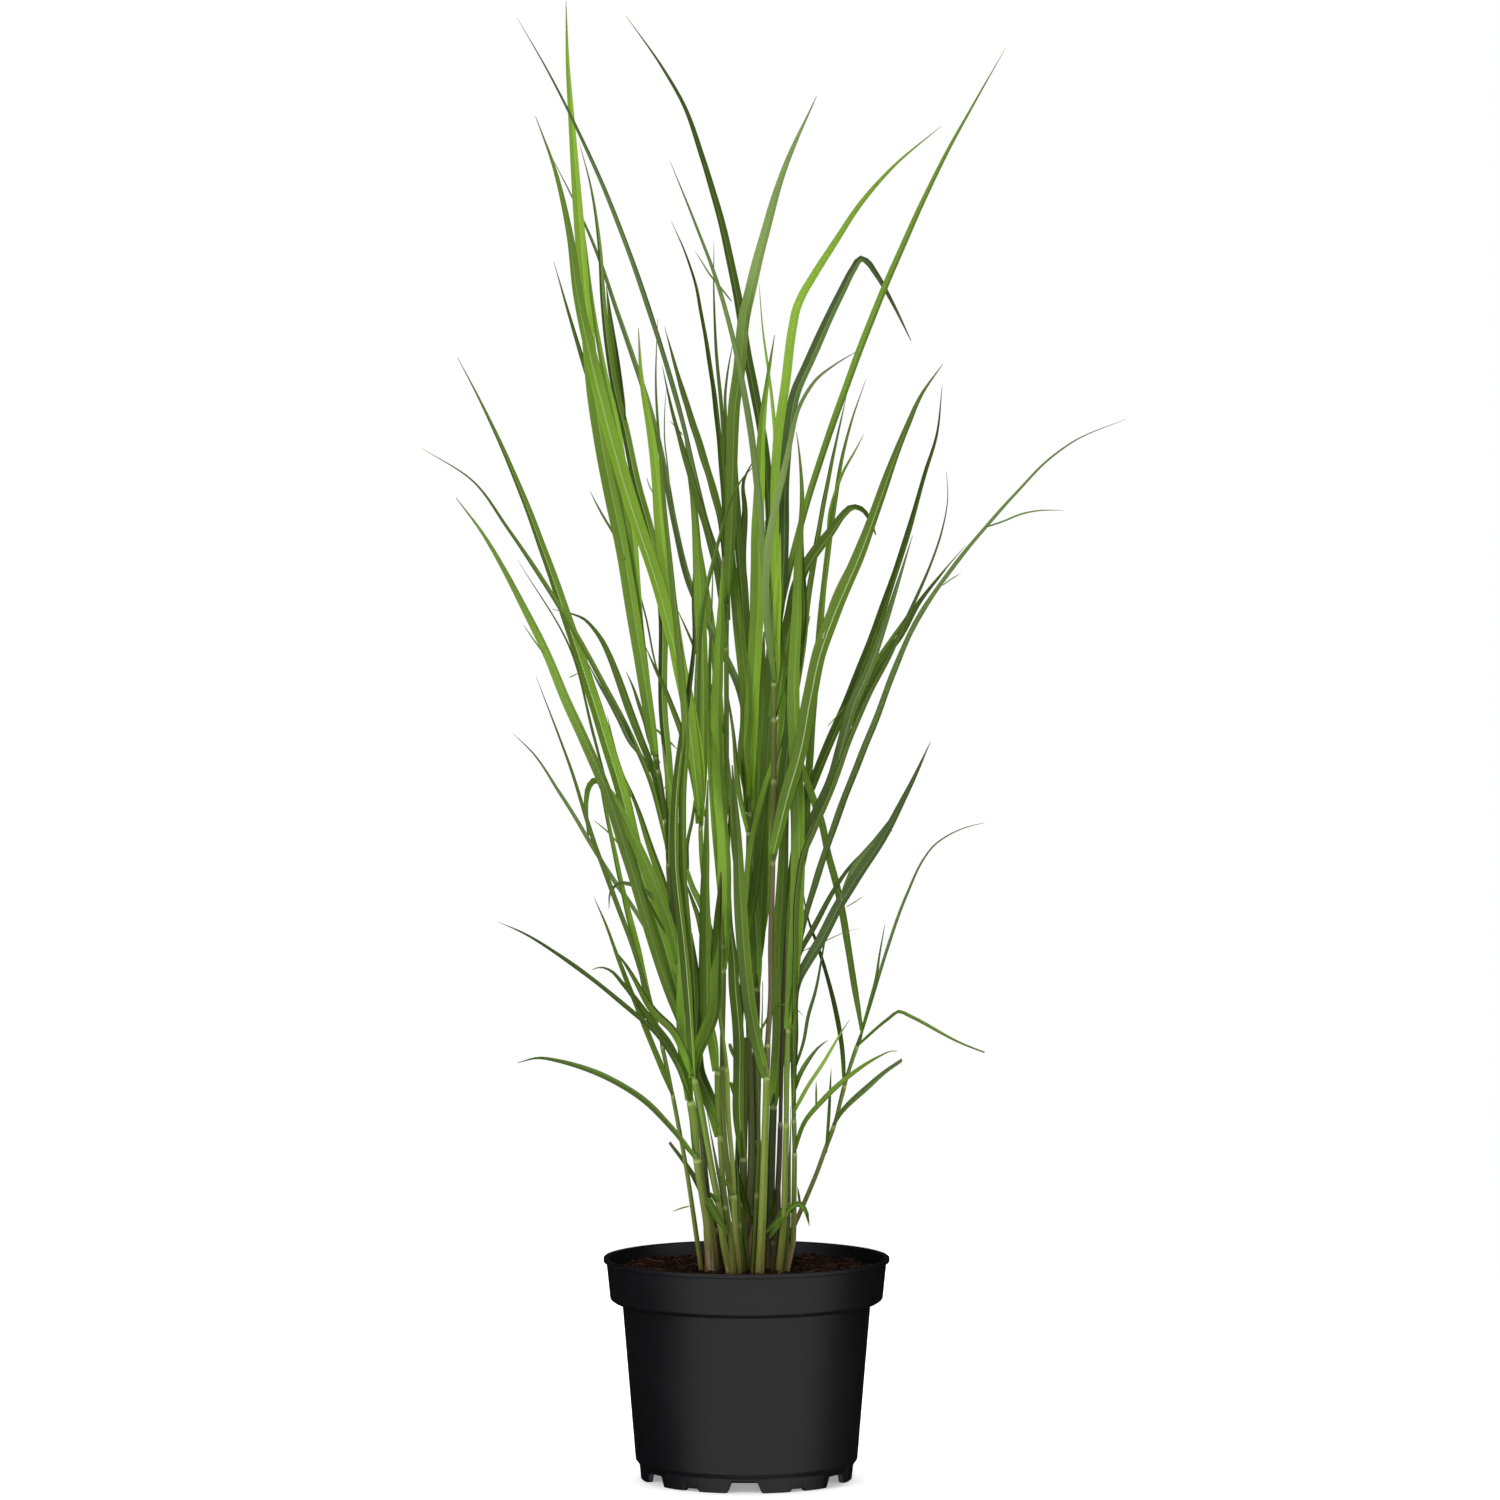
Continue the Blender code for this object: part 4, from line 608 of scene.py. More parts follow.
# Leaves too small for a solid of their own, and awns and straws. Host, width, tone, how far the
# tip is behind the foot, and the places as x and z by turns
smallLeaves = (
    ("shoot_core", 6, "deep", -26, (3, 203, 0, 217, -4, 232, -6.5, 243, -8, 252)),
    ("stem_right_bright", 4.2, "dark", -22, (29, 206, 35, 217.6, 43, 221, 47, 215.6, 50, 204.6)),
    ("stem_right_bright", 3.4, "dark", -22, (30, 213, 24, 206.5, 16.8, 198.6)),
    ("stem_right_bright", 6.5, "deep", -12, (30, 217, 27, 209, 22.5, 201, 18.5, 193)),
    ("stem_left_front", 5.5, "deep", -14, (-31, 226, -26, 215, -19, 203, -12, 193)),
    ("stem_dark", 5, "deep", -30, (17, 193, 19.5, 206, 21.5, 216, 22.5, 226, 22, 236)),
    ("a18", 3.4, "dusk", -25,
     (-78, 568, -85, 582, -93, 592, -103, 612, -110, 625, -118.5, 639.5, -127.5, 656.5)),
    ("stem_tall_left", 3.5, "dark", 25, (-70, 575, -78, 595, -81, 607.5, -86, 622, -91.5, 638, -96.5, 649)),
    ("stem_tall_right", 7, "bright", -30, (23, 640, 24, 690, 25, 720, 27, 760)),
    ("stem_tall_left", 3.6, "grey", -45,
     (-58, 452, -75, 468, -92, 478, -103, 478.5, -108.5, 473, -110.5, 458.5)),
    ("stem_left_bright", 5, "dark", 60,
     (-36, 525, -44, 570, -52, 600, -59.5, 620, -66, 636.5, -72.5, 650, -81, 669)),
    ("stem_left_bright", 5, "mid", 40, (-26, 430, -32, 450, -38, 465, -43, 475, -48, 490, -53.5, 510)),
    ("c07", 2.6, "mid", 20, (65, 755, 67, 778, 72, 795, 78, 810, 86, 824, 94, 839)),
    ("b10", 2.6, "dark", 15, (-16, 790, -16, 820, -16.5, 850, -17, 870, -15.5, 885, -10.5, 914)),
    ("b01", 2.1, "dark", 10, (-97, 738, -107, 760.5, -114, 772, -120.5, 784, -125.5, 794)),
    ("c05", 5.3, "dark", 40, (40, 640, 46, 695, 44, 745, 44.5, 790)),
    ("c14", 5.3, "dark", -8, (80, 600, 98, 640, 111, 661.5, 123, 677, 139, 705, 159.5, 730.5)),
    ("b05", 2.8, "dark", 30, (-47, 490, -47.5, 510, -43.5, 530, -40, 561)),
    ("stem_left_bright", 4.4, "dark", 70, (-26, 415, -35, 436, -39, 452.5, -43.5, 465.5, -49, 480.5)),
    ("b06", 1.5, "soft", 20, (-66, 630, -74, 659.5, -80, 690, -86, 714.5, -89.5, 746)),
    ("stem_tall_middle", 3, "dark", 60, (-18, 600, -30, 640, -42.5, 670, -50.5, 688, -56, 700)),
    ("a17", 2.6, "mid", 10, (-92, 548, -104, 580, -108, 597, -111.5, 613.5)),
    ("c16", 5.2, "dusk", 15, (76, 465, 88, 494, 103.5, 513.5, 117, 533)),
    ("b08", 1.5, "grey", 20, (-12, 945, -20, 955, -30.5, 968, -36, 977, -41.5, 985.5)),
    ("b07", 1.2, "grey", 10, (-60, 780, -63, 812, -65.5, 835, -65.5, 855, -64, 878)),
    ("b06", 5.5, "dark", 15, (-98, 850, -103, 890, -107.5, 920, -112, 957)),
    ("a01", 1.4, "mid", 5, (-100, 508, -112, 521, -123, 530)),
    ("stem_brown_base", 1.2, "straw", -5, (-46, 219, -52, 217.5, -60, 214.5)),
    ("a01", 1.2, "mid", 5, (-163, 664, -173, 678, -179, 687)),
    ("b01", 2, "bright", 5, (-73, 603, -64, 595, -55, 586)),
    ("stem_tall_left", 1, "mid", 5, (-66, 555, -63, 559, -60, 562)),
    ("b17", 1, "mid", 5, (-51, 838, -56, 844, -62, 850)),
    ("b13", 1, "mid", 5, (-75, 792, -78, 798, -80, 805)),
    ("c17", 0.8, "straw", -5, (44, 424, 60, 431, 75, 438, 90, 443)),
    ("c16", 0.8, "straw", -5, (80, 460, 87, 464, 94, 469)),
    ("stem_leaning", 1.6, "mid", -12, (56, 300, 56, 310, 56, 320)),
    ("stem_leaning", 2.6, "dark", -12, (64, 262, 66, 290, 68, 330)),
    ("stem_dark", 2, "mid", -70, (8, 355, 15, 367, 22, 378, 28, 381, 35, 382, 40, 378, 46, 372)),
    ("c15", 1.5, "grey", 3, (190, 764, 205, 769, 220, 775, 232, 777.5, 254, 778)),
    ("c10", 2, "cream", -3, (61, 675, 65, 695, 72, 715, 80, 732)),
    ("c14", 1, "mid", 3, (157, 718, 164, 723, 172, 728)),
    ("c12", 0.8, "mid", 3, (65, 605, 74, 615, 82, 624)),
    ("a02", 1, "mid", 3, (-142, 644, -138, 646, -134, 648)),
    ("stem_left_front", 4, "dark", -22, (-22, 220, -26, 226, -30, 231)),
    ("stem_left_front", 3, "dark", -24, (-20, 203, -28, 212, -34, 222)),
    ("stem_left_front", 3, "dark", -20, (-10, 228, -18, 240, -25, 246)),
    ("stem_left_front", 4, "dark", -20, (-23, 283, -28, 292, -33, 300)),
    ("stem_right", 3, "mid", -14, (15, 197, 25, 208, 35, 215, 42, 220)),
    ("stem_right", 2, "mid", -14, (43, 220, 42, 228, 41, 235)),
    ("stem_dark", 3, "dark", -30, (-13.5, 350, -12, 344, -10, 338)),
    ("stem_dark", 3, "dark", -30, (-12.5, 319, -10.5, 311, -9, 304)),
)

# Husks about the stems' feet: stem, how far the tip leans out in x, height of foot and tip,
# width, tone
husks = (
    ("stem_left_front", -2, 165, 201, 4, "straw"), ("stem_left_front", 3, 165, 186, 3.4, "husk"),
    ("stem_brown_base", -3, 165, 210, 6, "straw"), ("stem_brown_base", 3, 165, 193, 4.6, "husk"),
    ("stem_leaning", 3, 165, 196, 4, "straw"), ("stem_leaning", -2, 165, 180, 4, "husk"),
    ("stem_right", 2, 165, 222, 3.4, "straw"), ("stem_right", -3, 165, 190, 4, "husk"),
    ("stem_dark", -2, 165, 206, 4, "husk"), ("stem_middle", 4, 165, 204, 3.4, "straw"),
    ("stem_middle", -3, 165, 188, 4, "husk"), ("stem_right_brown", 3, 165, 204, 4, "husk"),
    ("stem_tall_left", 3, 165, 197, 3.6, "straw"), ("stem_tall_middle", -3, 165, 186, 4, "husk"),
)

# clear: room that a blade keeps from others. depthStep to layerCost: how its free place is looked
# for. The rest shapes it, in millimetres or as shares of its length or width
blade = {"thickness": 1.1, "tipThickness": 0.35, "fold": 0.16, "groove": 0.2, "clear": 0.45, "stemGap": 0.6,
         "depthStep": 8.0, "depthSteps": 14, "layerStep": 2.5, "layers": 7, "layerCost": 2.5, "stemSides": 6,
         "soilTop": 169.35, "footWidth": 0.6, "riseEnd": 0.16, "fallStart": 0.45, "fallPower": 1.7,
         "depthPower": 1.35, "girthRise": 2.2}


def stemPath(name):
    # The stem's points, their depth growing evenly with height, and its radius there
    _, low, high, baseRadius, topRadius, _, x, z = stems[name]
    x, z = np.array(x, float), np.array(z, float)
    share = (z - z[0]) / (z[-1] - z[0])
    centre = seen(x, z, low + (high - low) * share)
    return centre, baseRadius + (topRadius - baseRadius) * np.minimum(1, share * blade["girthRise"])


def tube(centre, radius, angle):
    # Rings about the points: at each, radius * (side cos + front sin) of the angles
    forward = tangents(centre)
    forward[0] = (0, 0, 1)
    side = unit(np.cross(forward, np.array([0.0, 1.0, 0.0])))
    front = np.cross(side, forward)
    return centre[:, None] + radius[..., None] * (side[:, None] * np.cos(angle)[None, :, None]
                                                  + front[:, None] * np.sin(angle)[None, :, None])


def stemSolid(name):
    # The stem as the frame has it: rings of few sides about its points
    centre, radius = stemPath(name)
    centre[0, 2] = blade["soilTop"]
    return tube(centre, radius[:, None], 2 * math.pi * np.arange(blade["stemSides"]) / blade["stemSides"])


def bladeStart(name, depth, layer):
    # Depth where the blade leaves its stem, how far off that its own solid starts, and which
    # way it goes
    stem, own, width, _, _, _, _, z = leaves[name]
    centre, radius = stemPath(stem)
    start = np.interp(z[0], centre[:, 2], centre[:, 1])
    away = 1.0 if depth > start else -1.0
    offset = 0.0
    if own:
        offset = away * (np.interp(z[0], centre[:, 2], radius) + blade["stemGap"] * blade["thickness"]
                         + blade["fold"] * width + blade["clear"])
        offset += away * layer * blade["layerStep"]
    return start, offset, away


def bladeForm(flat, share, width, turn, end, start, depth, swell=0.0):
    # The blade's line in space with its cross direction, its facing, half width, thickness
    # and fold. Depth grows with a power of the way along. The width rises as a quarter sine
    # over the foot and falls off by a power after the middle
    line = seen(flat[:, 0], flat[:, 1], start + (depth - start) * share ** blade["depthPower"])
    forward = tangents(line)
    toward = unit(np.array([view["side"], -view["back"], view["height"]]) - line)
    sideways = unit(np.cross(forward, toward))
    facing = np.cross(sideways, forward)
    angle = math.radians(turn)
    across, facing = (sideways * math.cos(angle) + facing * math.sin(angle),
                      facing * math.cos(angle) - sideways * math.sin(angle))
    foot, late = blade["footWidth"], blade["fallStart"]
    rise = foot + (1 - foot) * np.sin(0.5 * math.pi * np.minimum(1, share / blade["riseEnd"]))
    fall = 1 - (1 - end) * np.maximum(0, (share - late) / (1 - late)) ** blade["fallPower"]
    half = 0.5 * width / math.cos(angle) * rise * fall + swell
    thick = blade["thickness"] * (blade["tipThickness"] + (1 - blade["tipThickness"]) * np.sqrt(fall)) + swell
    fold = 2 * blade["fold"] * half
    return line + sideways * (fold * math.sin(angle))[:, None], across, facing, half, thick, fold


def bladeSolid(name, depth, layer, swell=0.0):
    # The blade as the frame has it: a keel, two thin edges and a groove, four points a ring
    _, _, width, _, turn, end, x, z = leaves[name]
    flat = np.stack([np.array(x, float), np.array(z, float)], -1)
    run = runOf(flat)
    start, offset, _ = bladeStart(name, depth, layer)
    line, across, facing, half, thick, fold = bladeForm(flat, run / run[-1], width, turn, end,
                                                        start + offset, depth, swell)
    return np.stack([
        line - across * half[:, None] + facing * fold[:, None],
        line - facing * (thick * 0.5)[:, None],
        line + across * half[:, None] + facing * fold[:, None],
        line + facing * (thick * 0.5 + blade["groove"] * fold)[:, None],
    ], 1)


def treeOf(rings):
    # The closed form through the rings, ready to be tested for overlap
    return BVHTree.FromPolygons(rings.reshape(-1, 3).tolist(), loftFaces(*rings.shape[:2]))


def clearPlaces():
    # The frame's own rule, so that each leaf lies on its solid: the tip depth and the layer at
    # its foot, nearest to the stated ones, where the blade touches nothing that came before it
    placed = [(stems[name][0] or name, treeOf(stemSolid(name))) for name in stems]
    found = {}
    for name, (stem, own, _, wanted, *_) in leaves.items():
        home = stems[stem][0] or stem
        others = [tree for owner, tree in placed if own or owner != home]
        tries = sorted((abs(step) + blade["layerCost"] * layer, layer, step, sign)
                       for step in range(blade["depthSteps"]) for sign in (1, -1)
                       for layer in range(blade["layers"] if own else 1))
        for _, layer, step, sign in tries:
            depth = wanted + sign * step * blade["depthStep"]
            swollen = treeOf(bladeSolid(name, depth, layer, blade["clear"]))
            if not any(swollen.overlap(other) for other in others):
                break
        else:
            depth, layer = wanted, 0
        found[name] = (depth, layer)
        placed.append((name if own else home, treeOf(bladeSolid(name, depth, layer))))
    return found


# Camera, light and floor

def aimed(thing, target):
    # Turns a camera or lamp so that its -Z points at the target
    thing.rotation_euler = (Vector(target) - thing.location).to_track_quat("-Z", "Y").to_euler()


# Glossy things mirror skyFront in front and skyBack behind, between the two values of skyBand
studio = {
    "clipEnd": 60, "floorReach": 1.5, "floorEdges": 96, "floorTone": (0.91, 0.93), "floorGrain": (900, 3),
    "floorGlow": 0.3, "floorRoughness": 0.9, "floorSpecular": 0.1, "skySeen": 1.0, "skyFill": 0.28,
    "skyFront": 0.76, "skyBack": 0.008, "skyLean": 0.14, "skyBand": (-0.6, -0.02),
}
# Each lamp: place, aim, width, height and watts
lamps = {
    "frontBox": ((-0.3, -5.7, 1.0), (0, 0, 0.5), 2.2, 2.4, 100),
    "keyBox": ((-2.2, -2.0, 1.9), (0, 0, 0.6), 1.2, 1.6, 62),
    "sideBox": ((2.4, -1.6, 1.4), (0, 0, 0.6), 1.0, 1.6, 24),
    "topBox": ((0, 0.4, 3.6), (0, 0.3, 0), 2.6, 2.6, 120),
    "rearBox": ((0.6, 3.2, 2.2), (0, 0, 0.6), 2.0, 1.6, 46),
}


def addStudio():
    # Camera, lamps and floor, under a pale sky that only the camera sees at full strength.
    # Glossy things mirror neither lamps nor floor but the sky alone: broad and soft in front,
    # and dark, as black wings are, at the sides and behind
    scene = bpy.context.scene
    scene.view_settings.view_transform = "Standard"
    lens = bpy.data.cameras.new("photoCamera")
    lens.lens = view["lens"]
    lens.sensor_width = view["sensor"]
    lens.clip_end = studio["clipEnd"]
    camera = bpy.data.objects.new("photoCamera", lens)
    scene.collection.objects.link(camera)
    across = (view["side"] + axisShift) * mm
    camera.location = (across, -view["back"] * mm, view["height"] * mm)
    aimed(camera, (across, 0, view["aimHeight"] * mm))
    scene.camera = camera
    for name, (place, target, width, height, power) in lamps.items():
        lamp = bpy.data.lights.new(name, "AREA")
        lamp.shape = "RECTANGLE"
        lamp.size, lamp.size_y, lamp.energy = width, height, power
        box = bpy.data.objects.new(name, lamp)
        scene.collection.objects.link(box)
        box.location = place
        aimed(box, target)
        box.visible_camera = False
        box.visible_glossy = False

    world = bpy.data.worlds.new("paleStudio")
    scene.world = world
    world.use_nodes = True
    tree = world.node_tree
    path = node(tree, "LightPath").outputs
    toward = node(tree, "SeparateXYZ", node(tree, "TexCoord").outputs["Generated"]).outputs
    ahead = maths(tree, "MULTIPLY_ADD", toward[0], -studio["skyLean"], toward[1])
    gloss = ramp(tree, ahead, *studio["skyBand"], studio["skyFront"], studio["skyBack"])
    fill = ramp(tree, path["Is Glossy Ray"], 0, 1, studio["skyFill"], gloss)
    shown = ramp(tree, path["Is Camera Ray"], 0, 1, fill, studio["skySeen"])
    tree.links.new(shown, tree.nodes["Background"].inputs["Color"])

    # The floor is a flat disc of matt pale paper that glows a little, to keep shadows light
    ring = 2 * math.pi * np.arange(studio["floorEdges"]) / studio["floorEdges"]
    points = studio["floorReach"] * np.stack([np.cos(ring), np.sin(ring), 0 * ring], -1)
    mesh = bpy.data.meshes.new("floor")
    mesh.from_pydata(points.tolist(), [], [list(range(len(ring)))])
    floor = bpy.data.objects.new("floor", mesh)
    scene.collection.objects.link(floor)
    made, tree, shader = newFinish("palePaper")
    paper = ramp(tree, noise(tree, *studio["floorGrain"]), *noiseBand, *studio["floorTone"])
    tree.links.new(paper, shader.inputs["Base Color"])
    shader.inputs["Emission Color"].default_value = (1, 1, 1, 1)
    shader.inputs["Emission Strength"].default_value = studio["floorGlow"]
    shader.inputs["Roughness"].default_value = studio["floorRoughness"]
    shader.inputs["Specular IOR Level"].default_value = studio["floorSpecular"]
    mesh.materials.append(made)
    floor.visible_glossy = False
    print("studio ready")


# Pot

# footTop and footLow: degrees that a foot takes up at the top and bottom of its sloping sides.
# cut: how far the ring's skin is set back about a gap. relief: the low step in a foot's middle
pot = {
    "lipRadius": 115.0, "lipTop": 178.1, "lipBead": 3.2, "collarTop": 112.6, "collarLow": 109.6,
    "collarHeight": 145.0, "neck": 100.0, "neckHeight": 141.2, "bodyLow": 89.3, "bodyHeight": 15.8,
    "skirtTop": 86.2, "skirtHeight": 11.6, "skirtLow": 85.0, "wall": 2.0, "floorUnder": 8.4,
    "floorThick": 2.4, "feet": 6, "footTop": 46.6, "footLow": 40.0, "footInner": 79.5, "footTurn": -1.0,
    "sides": 540, "cut": 1.2, "cutBand": (11.6, 13.2), "cutSlope": 0.08, "relief": 2.3,
    "reliefBand": (3.8, 4.8), "reliefFade": 4,
}


def rounded(corners, steps=5, most=0.45):
    # Each corner (radius, height, rounding) becomes an arc that leaves its two sides at the
    # rounding's distance, or at most of their length, as (1-t)^2 a + 2t(1-t) corner + t^2 b
    corners = np.array(corners, float)
    points = corners[:, :2]
    before, after = np.roll(points, 1, 0), np.roll(points, -1, 0)
    out = []
    t = np.linspace(0, 1, steps)[:, None]
    for i in range(len(points)):
        if corners[i, 2] == 0:
            out.append(points[i:i + 1])
            continue
        back, ahead = before[i] - points[i], after[i] - points[i]
        reach = min(corners[i, 2], most * np.linalg.norm(back), most * np.linalg.norm(ahead))
        a, b = points[i] + unit(back) * reach, points[i] + unit(ahead) * reach
        out.append((1 - t) ** 2 * a + 2 * t * (1 - t) * points[i] + t * t * b)
    return np.vstack(out)


def turnedFaces(sides, count, poles):
    # Four-sided faces between neighbouring outlines, counted outline by outline. The first
    # and last points of every outline, if they are poles, are taken from the first outline
    i = np.arange(sides)[:, None]
    j = np.arange(count - 1)[None, :]
    faces = np.stack([i * count + j, i * count + j + 1, ((i + 1) % sides) * count + j + 1,
                      ((i + 1) % sides) * count + j], -1).reshape(-1, 4)
    index = np.arange(sides * count)
    for pole in poles:
        index[np.arange(sides) * count + pole] = pole
    used, faces = np.unique(index[faces], return_inverse=True)
    return used, [list(dict.fromkeys(face)) for face in faces.reshape(-1, 4).tolist()]


def buildPot(finish):
    # A closed outline of radius and height turned about the axis. Under the wall the foot
    # ring's lower edge follows the angle: down to the ground at a foot, up to the base plate
    # between feet, with sloping sides. In front of each gap the ring's skin is cut back
    p = pot
    plateTop = p["floorUnder"] + p["floorThick"]
    beadLow = p["lipTop"] - p["lipBead"]
    outline = rounded([  # radius, height and rounding of each corner
        (0, p["floorUnder"], 0), (30, p["floorUnder"], 0), (60, p["floorUnder"], 0),
        (p["footInner"] - 0.6, p["floorUnder"], 0.5),
        (p["footInner"], 0, 0.8), (p["skirtLow"], 0, 1), (p["skirtTop"], p["skirtHeight"], 0.8),
        (p["bodyLow"], p["bodyHeight"], 0.6), (p["neck"] - 0.1, p["neckHeight"] + 0.5, 0.2),
        (p["neck"] + 0.9, p["neckHeight"] + 0.1, 0.2), (p["neck"] + 6, p["neckHeight"] + 1.2, 2),
        (p["collarLow"], p["collarHeight"], 1.4),
        (p["collarTop"], beadLow - 0.6, 0.3), (p["lipRadius"], beadLow, 0.5),
        (p["lipRadius"], p["lipTop"], 0.6), (p["collarTop"] - p["wall"], p["lipTop"] - 0.3, 0.8),
        (p["collarLow"] - p["wall"], p["collarHeight"] + 1.5, 2.0),
        (p["neck"] + 2.0, p["neckHeight"] + 3.5, 1.0), (p["neck"] - p["wall"], p["neckHeight"] + 2.0, 1.0),
        (p["bodyLow"] - p["wall"], p["bodyHeight"], 1.5),
        (p["skirtTop"] - p["wall"] - 1.0, plateTop, 1.0), (0, plateTop, 0),
    ])
    sides, pitch = p["sides"], 360 / p["feet"]
    angle = 2 * math.pi * np.arange(sides) / sides
    # Degrees from the middle of the nearest gap between feet
    off = np.abs((np.degrees(angle) + 90 - p["footTurn"] + pitch / 2) % pitch - pitch / 2)[:, None]
    radius = np.repeat(outline[None, :, 0], sides, 0)
    height = np.repeat(outline[None, :, 1], sides, 0)
    foot = (height < p["floorUnder"]) & (radius > p["footInner"] - 2)
    skin = (height < p["skirtHeight"] + 0.3) & (radius > p["skirtLow"] - 1)
    rise = 1 - smoothstep((pitch - p["footTop"]) / 2, (pitch - p["footLow"]) / 2, off)
    lifted = p["floorUnder"] * rise + height * (1 - rise)
    relief = p["relief"] * (1 - smoothstep(*p["reliefBand"], pitch / 2 - off))
    lifted = lifted + relief * np.clip(1 - height / p["reliefFade"], 0, 1)
    cut = p["cut"] * (1 - smoothstep(*p["cutBand"], off + p["cutSlope"] * height))
    height = np.where(foot, lifted, height)
    radius = np.where(skin, radius - cut, radius)
    points = np.stack([radius * np.cos(angle)[:, None], radius * np.sin(angle)[:, None], height], -1)
    used, faces = turnedFaces(sides, len(outline), (0, len(outline) - 1))
    part = {"points": points.reshape(-1, 3)[used], "faces": faces}
    makePiece("container", [part], finish, ["pot"])
    print("pot ready")


# Compost

# ripples: length and height of each size of ripple. growth: a crumb is least + most * t ** growth
# across, for t from 0 to 1. mixture: where the shares of plain and of pale crumbs end
compost = {
    "level": 167.0, "mound": 1.6, "edgeDrop": 1.5, "edgeFrom": 0.9, "edgeRipple": 0.3, "reach": 107.2,
    "rings": 90, "ringPower": 0.8, "spokes": 260, "seed": 7,
    "ripples": ((34, 0.6), (13, 0.36), (6.5, 0.25), (3.4, 0.16)), "ripplesOfEach": 5,
    "crumbs": 3000, "least": 0.5, "most": 1.9, "growth": 2.6, "sunk": 0.35, "knock": 0.25,
    "mixture": (0.78, 0.93), "fibres": 420, "fibreLength": (5, 20), "fibreBend": 0.35,
    "fibreRadius": (0.16, 0.42), "fibreLift": 0.6,
    "earth": srgb(23, 12, 9), "paleCrumb": srgb(37, 21, 15), "darkCrumb": srgb(11, 7, 5),
    "paleFibre": srgb(60, 38, 26), "darkFibre": srgb(29, 17, 12),
}


